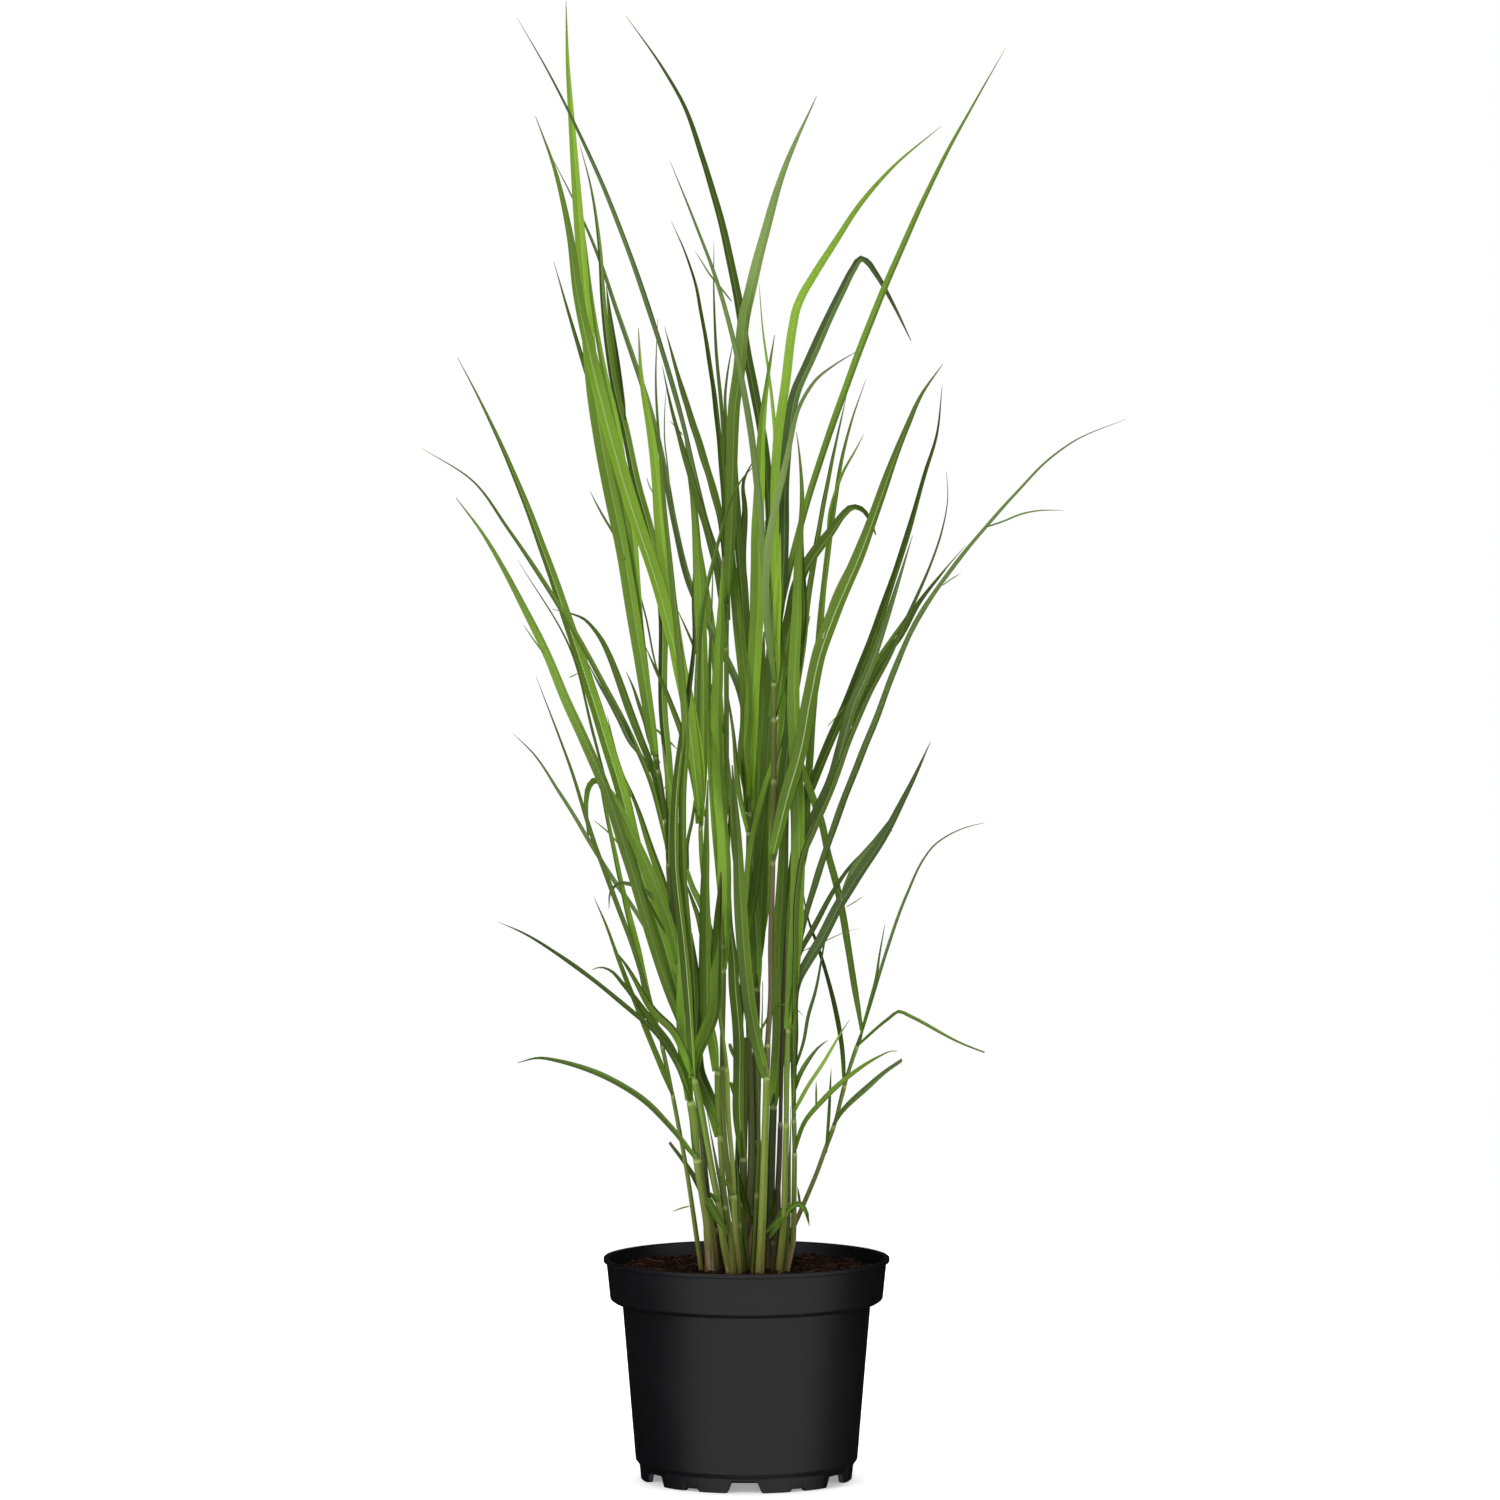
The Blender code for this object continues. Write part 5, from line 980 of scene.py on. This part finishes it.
def buildCompost(finish):
    # The top is a grid of radius and angle, its height the sum of four sizes of sine ripple
    # about the mound. It is closed underneath along the inside of the pot
    c, p = compost, pot
    rng = np.random.default_rng(c["seed"])
    angle = 2 * math.pi * np.arange(c["spokes"]) / c["spokes"]
    radius = c["reach"] * np.linspace(0, 1, c["rings"]) ** c["ringPower"]
    r, a = np.meshgrid(radius, angle)
    x, y = r * np.cos(a), r * np.sin(a)
    ripple = 0 * x
    for size, depth in c["ripples"]:
        for _ in range(c["ripplesOfEach"]):
            turn, phase = rng.uniform(0, math.pi), rng.uniform(0, 2 * math.pi)
            ripple += depth * np.sin(2 * math.pi * (x * math.cos(turn) + y * math.sin(turn)) / size + phase)
    edge = 1 - smoothstep(c["edgeFrom"] * c["reach"], c["reach"], r)
    z = (c["level"] - c["edgeDrop"] + (c["mound"] + c["edgeDrop"]) * edge
         + ripple * (c["edgeRipple"] + (1 - c["edgeRipple"]) * edge))
    wall = np.array([
        (c["reach"] - 0.6, c["level"] - 8), (p["collarLow"] - p["wall"] - 1.2, p["collarHeight"] + 3),
        (p["neck"] + 0.8, p["neckHeight"] + 4.4), (p["neck"] - p["wall"] - 0.6, p["neckHeight"] + 2.5),
        (p["bodyLow"] - p["wall"] - 0.6, p["bodyHeight"] + 0.5),
        (p["skirtTop"] - p["wall"] - 1.8, p["floorUnder"] + p["floorThick"] + 0.4),
        (0, p["floorUnder"] + p["floorThick"] + 0.4)])
    under = np.stack([wall[:, 0] * np.cos(angle)[:, None], wall[:, 0] * np.sin(angle)[:, None],
                      wall[:, 1] + 0 * angle[:, None]], -1)
    points = np.concatenate([np.stack([x, y, z], -1), under], 1)
    used, faces = turnedFaces(*points.shape[:2], (0, points.shape[1] - 1))
    points = points.reshape(-1, 3)[used]
    tone = toned(c["earth"] * rng.uniform(0.75, 1.25, (len(points), 1)))
    parts = [{"points": points, "faces": faces, "tone": tone}]

    def surface(px, py):
        # Height of the top under each place, from the nearest point of its grid
        spoke = (np.arctan2(py, px) % (2 * math.pi) / (2 * math.pi) * c["spokes"]).astype(int) % c["spokes"]
        return z[spoke, np.clip(np.searchsorted(radius, np.hypot(px, py)), 0, c["rings"] - 1)]

    # Crumbs: a lump of twelve corners at golden ratios, each copy turned, flattened and
    # knocked out of round
    golden = (1 + math.sqrt(5)) / 2
    corners = unit(np.array([(-1, golden, 0), (1, golden, 0), (-1, -golden, 0), (1, -golden, 0),
                             (0, -1, golden), (0, 1, golden), (0, -1, -golden), (0, 1, -golden),
                             (golden, 0, -1), (golden, 0, 1), (-golden, 0, -1), (-golden, 0, 1)], float))
    lump = np.array([(0, 11, 5), (0, 5, 1), (0, 1, 7), (0, 7, 10), (0, 10, 11), (1, 5, 9), (5, 11, 4),
                     (11, 10, 2), (10, 7, 6), (7, 1, 8), (3, 9, 4), (3, 4, 2), (3, 2, 6), (3, 6, 8),
                     (3, 8, 9), (4, 9, 5), (2, 4, 11), (6, 2, 10), (8, 6, 7), (9, 8, 1)])
    many = c["crumbs"]
    size = c["least"] + c["most"] * rng.random(many) ** c["growth"]
    far = (c["reach"] - 3) * np.sqrt(rng.random(many))
    turn = 2 * math.pi * rng.random(many)
    place = np.stack([far * np.cos(turn), far * np.sin(turn), 0 * far], -1)
    place[:, 2] = surface(place[:, 0], place[:, 1]) + c["sunk"] * size
    stretch = [rng.uniform(low, high, many) for low, high in ((0.7, 1.4), (0.7, 1.3), (0.5, 0.9))]
    knock = 1 + c["knock"] * rng.standard_normal((many, 12, 1)).clip(-1.5, 1.5)
    spin = 2 * math.pi * rng.random((many, 1))
    local = corners[None] * knock * np.stack(stretch, -1)[:, None] * size[:, None, None]
    turned = np.stack([local[..., 0] * np.cos(spin) - local[..., 1] * np.sin(spin),
                       local[..., 0] * np.sin(spin) + local[..., 1] * np.cos(spin), local[..., 2]], -1)
    mix = rng.random((many, 1))
    plain, pale = c["mixture"]
    tone = np.where(mix < plain, c["earth"], np.where(mix < pale, c["paleCrumb"], c["darkCrumb"]))
    tone = tone * rng.uniform(0.6, 1.5, (many, 1))
    parts.append({"points": (turned + place[:, None]).reshape(-1, 3), "tone": toned(np.repeat(tone, 12, 0)),
                  "faces": (lump[None] + 12 * np.arange(many)[:, None, None]).reshape(-1, 3).tolist()})

    # Fibres: a bent line of five stations with a three-cornered section
    few = c["fibres"]
    length = rng.uniform(*c["fibreLength"], (few, 1))
    bend = rng.uniform(-c["fibreBend"], c["fibreBend"], (few, 1))
    far = (c["reach"] - 12) * np.sqrt(rng.random((few, 1)))
    turn, head = 2 * math.pi * rng.random((2, few, 1))
    t = np.linspace(-0.5, 0.5, 5)
    fx = far * np.cos(turn) + length * (t * np.cos(head) - bend * t * t * np.sin(head))
    fy = far * np.sin(turn) + length * (t * np.sin(head) + bend * t * t * np.cos(head))
    line = np.stack([fx, fy, surface(fx, fy) + c["fibreLift"] + rng.uniform(0, 1.2, (few, 1))], -1)
    thick = rng.uniform(*c["fibreRadius"], (few, 1, 1, 1))
    section = 2 * math.pi * np.arange(3) / 3
    side = np.stack([-np.sin(head), np.cos(head), 0 * head], -1)[:, :, None]
    rings = line[:, :, None] + thick * (side * np.cos(section)[:, None]
                                        + np.array([0, 0, 1.0]) * np.sin(section)[:, None])
    shape = loftFaces(5, 3)
    tone = np.where(rng.random((few, 1)) < 0.5, c["paleFibre"], c["darkFibre"])
    tone = tone * rng.uniform(0.6, 1.3, (few, 1))
    parts.append({"points": rings.reshape(-1, 3), "tone": toned(np.repeat(tone, 15, 0)),
                  "faces": [[k + 15 * i for k in face] for i in range(few) for face in shape]})
    makePiece("compostTop", parts, finish, ["soil"], smooth=False)
    print("compost ready")


# Stems and leaves

# Colours from the soil up: each one's height as a share of the stem, and the colour as on a screen
stemLooks = {
    "fresh": ((0, 146, 142, 76), (0.12, 128, 142, 58), (0.5, 114, 136, 50), (1, 100, 132, 40)),
    "grey": ((0, 112, 100, 62), (0.2, 104, 112, 52), (0.6, 98, 110, 52), (1, 92, 120, 44)),
    "olive": ((0, 112, 104, 56), (0.3, 92, 108, 38), (1, 84, 108, 32)),
    "brownFoot": ((0, 112, 92, 56), (0.11, 122, 104, 64), (0.24, 126, 130, 60), (0.5, 116, 134, 52),
                  (1, 106, 134, 44)),
    "purpleTop": ((0, 146, 142, 76), (0.06, 128, 142, 58), (0.31, 122, 142, 52), (0.325, 98, 92, 58),
                  (0.55, 102, 94, 62), (0.86, 98, 102, 52), (1, 96, 124, 42)),
    "purple": ((0, 92, 78, 50), (0.4, 76, 66, 44), (1, 82, 78, 44)),
    "shade": ((0, 78, 74, 42), (0.4, 62, 78, 36), (1, 58, 82, 34)),
    "pinkFoot": ((0, 132, 106, 76), (0.25, 120, 114, 62), (0.5, 114, 130, 56), (1, 114, 144, 54)),
}
# step, lap and turn: how a sheath widens, overlaps itself and is turned from the one below.
# band, seam and foot: the pale ring below a collar with a band of painted shade just above it, a line of
# painted shade along each sheath's free edge, and the darker brown foot near the soil
sheath = {
    "sides": 20, "below": 60, "above": 40, "step": 0.34, "stepMiddle": 0.35, "lap": 0.11, "turn": 2.2,
    "firstSeam": 4.4, "seamDrift": 0.25, "seam": 0.4, "seamWidth": 0.2, "wobble": 0.03, "band": 1.3,
    "bandShown": 0.45, "pale": srgb(184, 196, 124), "shade": srgb(50, 62, 26), "flare": 14,
    "foot": srgb(84, 64, 38), "footShown": 0.8, "footHeight": 5, "rooted": 6, "pathStep": 2.2,
    "topTaper": 0.75, "light": 0.79, "lightSpread": (0.94, 1.04), "lighterUp": 0.2, "markReach": 3.6,
    "markGap": 9,
}
# More places up the stems, as x and z, where one sheath ends and the next begins
collars = (
    (-59.5, 309), (-69, 354), (-46.6, 307), (-42.5, 324), (-25.2, 331), (-16, 331), (-43, 262), (-10, 228),
    (15, 324), (16.2, 350), (22.5, 497), (22.5, 672), (-36, 532), (-36, 545), (-72, 582), (-65, 389),
    (-18, 705), (-13.5, 728), (1, 552), (0.5, 358), (33, 367), (30.5, 286), (38.5, 289), (38, 335),
    (79, 319), (89, 350),
)


# Each stem's girth above its foot, as a share of the frame's, and how light it is: partly its own tone,
# partly painted shade on the stems that stand behind and painted light on those in front. The foot is
# as wide as the frame's
culmShares = {
    "stem_far_left": (1, 0.92), "stem_brown_base": (0.86, 1), "shoot_grey": (0.9, 0.72),
    "stem_left_front": (0.96, 1.04), "shoot_inner": (0.85, 0.76), "stem_left_bright": (0.88, 1.12),
    "stem_tall_left": (0.86, 0.7), "stem_tall_middle": (0.78, 0.84), "stem_middle": (1.0, 0.8),
    "shoot_core": (1.0, 0.66), "stem_tall_right": (0.96, 1.04), "stem_dark": (1.0, 0.8),
    "stem_right_bright": (0.94, 0.96), "stem_right": (0.92, 0.98), "stem_right_brown": (0.9, 0.8),
    "shoot_shade": (1.15, 0.8), "stem_leaning": (1, 0.92), "stem_back": (1, 0.8),
}
# Young shoots that stand beside a stem: stem, how far aside at foot and tip, how far behind,
# radius, top, look, how light
youngShoots = (
    ("stem_brown_base", 6.2, 4.6, 5, 2.0, 252, "purple", 0.8),
    ("stem_left_front", 5.0, 4.2, 4, 1.7, 296, "olive", 0.9),
    ("stem_left_bright", 3.8, 3.6, 3, 1.6, 262, "olive", 1.1),
    ("stem_tall_middle", 6.4, 4.0, 6, 1.9, 300, "fresh", 0.74),
    ("stem_middle", 5.6, 5.4, 5, 2.2, 420, "grey", 0.95),
    ("stem_tall_right", -5.6, -4.4, 7, 1.7, 318, "olive", 0.8),
    ("stem_right_bright", -4.6, -4.2, 5, 1.8, 262, "purple", 1.05),
    ("stem_right_bright", 3.8, 3.4, 6, 1.5, 300, "olive", 0.9),
    ("stem_right", -4.4, -3.2, 4, 1.6, 246, "olive", 0.95),
    ("stem_dark", 4.2, 4.4, -6, 2.0, 400, "grey", 0.8),
)


def culmMesh(line, height, share, size, marks, look, light, rng):
    # A tube along the line. Its radius swells a little up to each leaf's collar and steps back
    # above it, as sheath follows sheath, and grows round the tube, so that each sheath's free
    # edge laps over. A pale band marks each collar
    s = sheath
    edges = np.array([height[0] - s["below"]] + marks + [height[-1] + s["above"]], float)
    span = np.clip(np.searchsorted(edges, height) - 1, 0, len(edges) - 2)
    within = (height - edges[span]) / (edges[span + 1] - edges[span])
    size = size + s["step"] * (within - s["stepMiddle"]) * np.minimum(1, size / 2)
    angle = 2 * math.pi * np.arange(s["sides"]) / s["sides"]
    seam = angle[None, :] - s["firstSeam"] - s["turn"] * span[:, None] + s["seamDrift"] * within[:, None]
    seam = seam % (2 * math.pi)
    wobble = 1 + s["wobble"] * np.sin(2 * angle[None, :] + 6 * within[:, None] + rng.uniform(0, 6))
    wobble = wobble + s["lap"] * (seam / (2 * math.pi) - 0.5)
    rings = tube(line, size[:, None] * wobble, angle)
    stops = np.array(stemLooks[look], float)
    tone = np.stack([np.interp(share, stops[:, 0], part) for part in srgb(*stops[:, 1:].T)], -1)
    # The light given for each stem and shoot: partly its own tone, partly painted shade on those that stand
    # behind in the clump and painted light on those in front. Each sheath is also made lighter towards its
    # top
    lighter = (1 + s["lighterUp"] * (within - 0.5))[:, None]
    tone = (tone * lighter * s["light"] * light * rng.uniform(*s["lightSpread"]))[:, None]
    # Painted shade: a dark line down each sheath's free edge, where it laps over the sheath below
    seam = np.exp(-((np.sin(seam / 2) / s["seamWidth"]) ** 2))
    tone = tone * (1 - s["seam"] * seam)[..., None]
    # Below each collar a pale ring, the collar's own colour, and just above it a band of painted shade
    for mark in marks:
        for colour, side, width in ((s["pale"], -1, s["band"]), (s["shade"], 1, 0.8 * s["band"])):
            band = s["bandShown"] * np.exp(-((height - mark - side * s["band"]) / width) ** 2)[:, None, None]
            tone = tone * (1 - band) + colour * band
    # A darker brown foot near the soil, fading out over footHeight
    soil = np.clip(line[:, 2] - blade["soilTop"], 0, None)
    soil = s["footShown"] * np.exp(-soil / s["footHeight"])[:, None, None]
    tone = tone * (1 - soil) + s["foot"] * soil
    u = np.repeat((np.abs(np.arange(s["sides"]) / s["sides"] - 0.5) * 2)[None], len(line), 0)
    v = np.repeat((height * mm)[:, None], s["sides"], 1)
    return {"points": rings.reshape(-1, 3), "faces": loftFaces(len(line), s["sides"]), "tone": toned(tone),
            "uv": np.stack([u, v], -1).reshape(-1, 2)}


def buildStem(name, rng):
    # Along the smoothed path, its depth grows evenly with height. Girth above the foot is
    # slim + (1 - slim) * exp(-height / flare) of the frame's
    _, low, high, _, _, look, x, z = stems[name]
    slim, light = culmShares[name]
    flat, _ = smoothPath(np.stack([x, z], -1), sheath["pathStep"])
    height = flat[:, 1]
    share = (height - z[0]) / (z[-1] - z[0])
    line = seen(flat[:, 0], height, low + (high - low) * share)
    line[0, 2] -= sheath["rooted"]
    centre, radius = stemPath(name)
    size = np.interp(line[:, 2], centre[:, 2], radius)
    size = size * (slim + (1 - slim) * np.exp(-(height - z[0]) / sheath["flare"]))
    size = size * (1 - sheath["topTaper"] * smoothstep(z[-1] - 5, z[-1] + 1, height))
    marks = {row[7][0] for row in leaves.values() if row[0] == name}
    marks |= {up for aside, up in collars
              if z[0] < up < z[-1] and abs(np.interp(up, z, x) - aside) < sheath["markReach"]}
    marks = sorted(marks)
    marks = [m for i, m in enumerate(marks) if i == 0 or m - marks[i - 1] > sheath["markGap"]]
    return culmMesh(line, height, share, size, marks, look, light, rng), (flat, line[:, 1])


# A young shoot tapers from a share of its height up, has one collar, and starts part of the way
# up its look's colours
shootShape = {"taper": 0.86, "taperFrom": 0.45, "collar": 0.42, "lookFrom": 0.3}


def buildShoot(host, foot, tip, behind, radius, top, look, light, rng):
    # A young shoot beside its host's line, rolled to a spear over its upper half
    flat, depth = host
    kept = flat[:, 1] < top
    height = flat[kept, 1]
    share = (height - height[0]) / (height[-1] - height[0])
    line = seen(flat[kept, 0] + foot + (tip - foot) * share, height, depth[kept] + behind)
    line[0, 2] -= sheath["rooted"]
    s = shootShape
    size = radius * (1 - s["taper"] * smoothstep(s["taperFrom"], 1, share))
    marks = [height[0] + s["collar"] * (height[-1] - height[0])]
    return culmMesh(line, height, s["lookFrom"] + (1 - s["lookFrom"]) * share, size, marks, look, light, rng)


acrossPlaces = np.array([-1, -0.86, -0.6, -0.3, -0.1, 0, 0.1, 0.3, 0.6, 0.86, 1])
# Thicknesses in millimetres, bands and fades as shares of the length, and how strongly the
# colours of foot, tip, rim and rear side show
leafShape = {
    "step": 4.5, "smallStep": 2.0, "edge": 0.16, "middle": 0.46, "keel": 0.45, "groove": 0.16,
    "ribWidth": 0.13, "curl": 1.3, "wave": 0.05, "waveLength": (45, 90), "lowerBand": (0.4, 0.75),
    "drift": 0.07, "driftLength": 210, "spread": (0.93, 1.07), "foot": srgb(96, 136, 26),
    "footShown": 0.6, "footReach": 48, "tip": srgb(112, 98, 74), "cut": srgb(104, 80, 52),
    "tipShown": 0.8, "tipBand": (0.93, 1.0), "late": 0.22, "lateBand": (0.6, 0.92), "lean": 0.26,
    "rear": 0.82, "rearGrey": (0.05, 0.067, 0.045), "rim": 0.25, "rimBand": (0.9, 1.0),
    "paleRib": srgb(184, 204, 146), "ribMix": 0.4, "ribShown": 0.4, "paleRibShown": 0.5, "ribFade": 0.7,
    "ribBand": (0.55, 0.95), "rootReach": 22, "rootStretch": 4, "rootDepth": 0.8, "hugReach": 14,
    "hugWidth": 1.05, "hugFold": 1.2, "twist": 5,
}


def bladeMesh(form, share, tone, rng, sides=(1, 1), foot=1.0, dryTip=1.0, cutEnd=False, paleRib=False,
              lower=None):
    # Across the blade, height off the line is fold * |u|^curl plus half the thickness, less a
    # groove at the middle in front, and with a raised keel behind. Edges wave gently
    line, across, facing, half, _, fold = form
    s, u = leafShape, acrossPlaces
    rows = len(u)
    main, low = srgb(*tones[tone]), srgb(*tones[lower or tone])
    main = low + (main - low) * smoothstep(*s["lowerBand"], share)[:, None]
    length = runOf(line)
    thin = np.sqrt(np.clip(half / half.max(), 0.02, 1))[:, None] * min(1, half.max() / 2)
    bell = np.exp(-(u / s["ribWidth"]) ** 2)
    thickness = (s["middle"] - (s["middle"] - s["edge"]) * u ** 2)[None] * thin
    waves = [np.sin(2 * math.pi * length / rng.uniform(*s["waveLength"]) + rng.uniform(0, 6))
             for _ in range(2)]
    ripple = s["wave"] * half[:, None] * np.where(u < 0, waves[0][:, None], waves[1][:, None]) * u ** 2
    base = fold[:, None] * np.abs(u) ** s["curl"] + ripple
    front = base + thickness / 2 - s["groove"] * thin * bell
    rear = base - thickness / 2 - s["keel"] * thin * bell
    rim = np.arange(rows - 2, 0, -1)
    heights = np.concatenate([front, rear[:, rim]], 1)
    places = np.concatenate([u, u[rim]])
    rings = (line[:, None] + across[:, None] * (half[:, None] * places)[..., None]
             + facing[:, None] * heights[..., None])
    count, around = rings.shape[:2]
    drift = 1 + s["drift"] * np.sin(2 * math.pi * length / s["driftLength"] + rng.uniform(0, 6))
    footShare = s["footShown"] * foot * (1 - smoothstep(0, s["footReach"], length))[:, None]
    tipShare = s["tipShown"] * dryTip * smoothstep(*s["tipBand"], share)[:, None]
    colour = main * rng.uniform(*s["spread"]) * drift[:, None]
    colour = colour * (1 - footShare) + s["foot"] * footShare
    colour = colour * (1 - s["late"] * smoothstep(*s["lateBand"], share))[:, None]
    colour = colour * (1 - tipShare) + s["cut" if cutEnd else "tip"] * tipShare
    # Painted shade and light on the blade's two halves: one half is made darker and the other lighter, by a
    # random lean and by the sides argument, which carries paintedHalfShade
    lean = rng.uniform(-s["lean"], s["lean"])
    paintedHalfLight = np.where(places < 0, (1 - lean) * sides[0], (1 + lean) * sides[1])
    colours = colour[:, None] * paintedHalfLight[None, :, None]
    greyer = colours * s["rear"] + np.array(s["rearGrey"])
    colours = np.where((np.arange(around) >= rows)[None, :, None], greyer, colours)
    colours = colours * (1 + s["rim"] * smoothstep(*s["rimBand"], np.abs(places)))[None, :, None]
    rib = np.zeros((count, around, 4))
    rib[..., :3] = s["paleRib"] if paleRib else (1 - s["ribMix"]) * main[:, None] + s["ribMix"] * s["paleRib"]
    rib[..., 3] = (s["paleRibShown" if paleRib else "ribShown"]
                   * (1 - s["ribFade"] * smoothstep(*s["ribBand"], share))[:, None])
    uv = [np.broadcast_to(0.5 + 0.5 * places, (count, around)), np.repeat((length * mm)[:, None], around, 1)]
    return {"points": rings.reshape(-1, 3), "faces": loftFaces(count, around, rows), "tone": toned(colours),
            "ribTone": rib.reshape(-1, 4), "uv": np.stack(uv, -1).reshape(-1, 2)}


def buildLeaf(name, place, rng):
    # A smooth curve through the leaf's points, on its solid's depths. Its foot comes out of
    # the stem itself over the first few centimetres, and is as wide as the stem there
    s = leafShape
    stem, _, width, _, turn, end, x, z = leaves[name]
    flat, share = smoothPath(np.stack([x, z], -1), s["step"])
    start, offset, away = bladeStart(name, *place)
    line, across, facing, half, thick, fold = bladeForm(flat, share, width, turn, end, start + offset,
                                                        place[0])
    centre, radius = stemPath(stem)
    footRadius = np.interp(z[0], centre[:, 2], radius)
    length = runOf(line)
    leave = 1 - smoothstep(-0.2, 1, length / (s["rootReach"] + s["rootStretch"] * abs(offset)))
    line = line - np.array([0, 1, 0]) * ((offset - away * footRadius * s["rootDepth"]) * leave)[:, None]
    hug = np.exp(-length / s["hugReach"])
    foot, tip = fuller.get(name, (1, 1))
    half = np.maximum(half * (foot + (tip - foot) * share), footRadius * s["hugWidth"] * hug)
    fold = fold * (1 + s["hugFold"] * hug)
    twist = math.radians(s["twist"]) * np.sin(2 * math.pi * share * rng.uniform(0.6, 1.4) + rng.uniform(0, 6))
    across, facing = (across * np.cos(twist)[:, None] + facing * np.sin(twist)[:, None],
                      facing * np.cos(twist)[:, None] - across * np.sin(twist)[:, None])
    part = bladeMesh((line, across, facing, half, thick, fold), share, leafTone[name], rng,
                     sides=paintedHalfShade.get(name, (1, 1)), cutEnd=end > 0.4, paleRib=name in paleRibs,
                     lower=lowerTone.get(name))
    return part, (flat, line[:, 1])


smallShape = {"turn": 20, "end": 0.1, "foot": 0.3, "dryTip": 0.6}
huskShape = {"stations": 8, "footLean": 0.4, "off": 0.8, "outward": 1.5, "end": 0.15, "fold": 0.5}


def buildSmall(host, width, tone, change, places, rng):
    # A small leaf whose foot is as deep as its host is there
    s = smallShape
    flat, share = smoothPath(np.reshape(places, (-1, 2)), leafShape["smallStep"])
    hostFlat, hostDepth = host
    start = hostDepth[np.argmin(np.linalg.norm(hostFlat - flat[0], axis=1))]
    form = bladeForm(flat, share, width, s["turn"], s["end"], start, start + change)
    return bladeMesh(form, share, tone, rng, foot=s["foot"], dryTip=s["dryTip"])


def buildHusks(rng):
    # Dry sheaths about the feet of the stems: short wide blades that stand close to the stem,
    # folded round it
    s, parts = huskShape, []
    for name, x, low, high, width, tone in husks:
        centre, radius = stemPath(name)
        z = np.linspace(low, high, s["stations"])
        t = (z - low) / (high - low)
        stemX = np.interp(z, stems[name][7], stems[name][6])
        lean = x * (s["footLean"] + (1 - s["footLean"]) * t ** 2)
        flat, share = smoothPath(np.stack([stemX + lean, z], -1), leafShape["smallStep"])
        start = np.interp(low, centre[:, 2], centre[:, 1]) - np.interp(low, centre[:, 2], radius) - s["off"]
        line, across, facing, half, thick, _ = bladeForm(flat, share, width, 0, s["end"], start,
                                                         start - s["outward"])
        form = line, across, -facing, half, thick, s["fold"] * half
        parts.append((name, bladeMesh(form, share, tone, rng, foot=0, dryTip=0)))
    return parts


def buildPlant(leafMade, culmMade):
    # Every leaf with a solid of its own is a piece. The others join the leaves of their
    # stem, and the small ones join their host
    places = clearPlaces()
    print("leaf places found")
    rng = np.random.default_rng(31)
    culms, fronds, hosts = {}, {}, {}
    for name in stems:
        part, hosts[name] = buildStem(name, rng)
        culms.setdefault(stems[name][0] or name, []).append(part)
    for name, *shoot in youngShoots:
        culms[name].append(buildShoot(hosts[name], *shoot, rng))
    nodeOf = {name: stems[name][0] or name for name in stems}
    for name, (stem, own, *_) in leaves.items():
        part, hosts[name] = buildLeaf(name, places[name], rng)
        nodeOf[name] = "blade_" + name if own else nodeOf[stem]
        fronds.setdefault(nodeOf[name], []).append(part)
    for host, width, tone, change, path in smallLeaves:
        fronds.setdefault(nodeOf[host], []).append(buildSmall(hosts[host], width, tone, change, path, rng))
    for name, part in buildHusks(rng):
        fronds.setdefault(nodeOf[name], []).append(part)
    for name, parts in culms.items():
        makePiece(name.replace("stem", "culm"), parts, culmMade, [name])
    for name, parts in fronds.items():
        makePiece(name.replace("stem", "leavesOf").replace("blade", "leaf"), parts, leafMade, [name])
    print("stems and leaves ready")


addStudio()
buildPot(potFinish())
buildCompost(compostFinish())
buildPlant(leafFinish(), culmFinish())
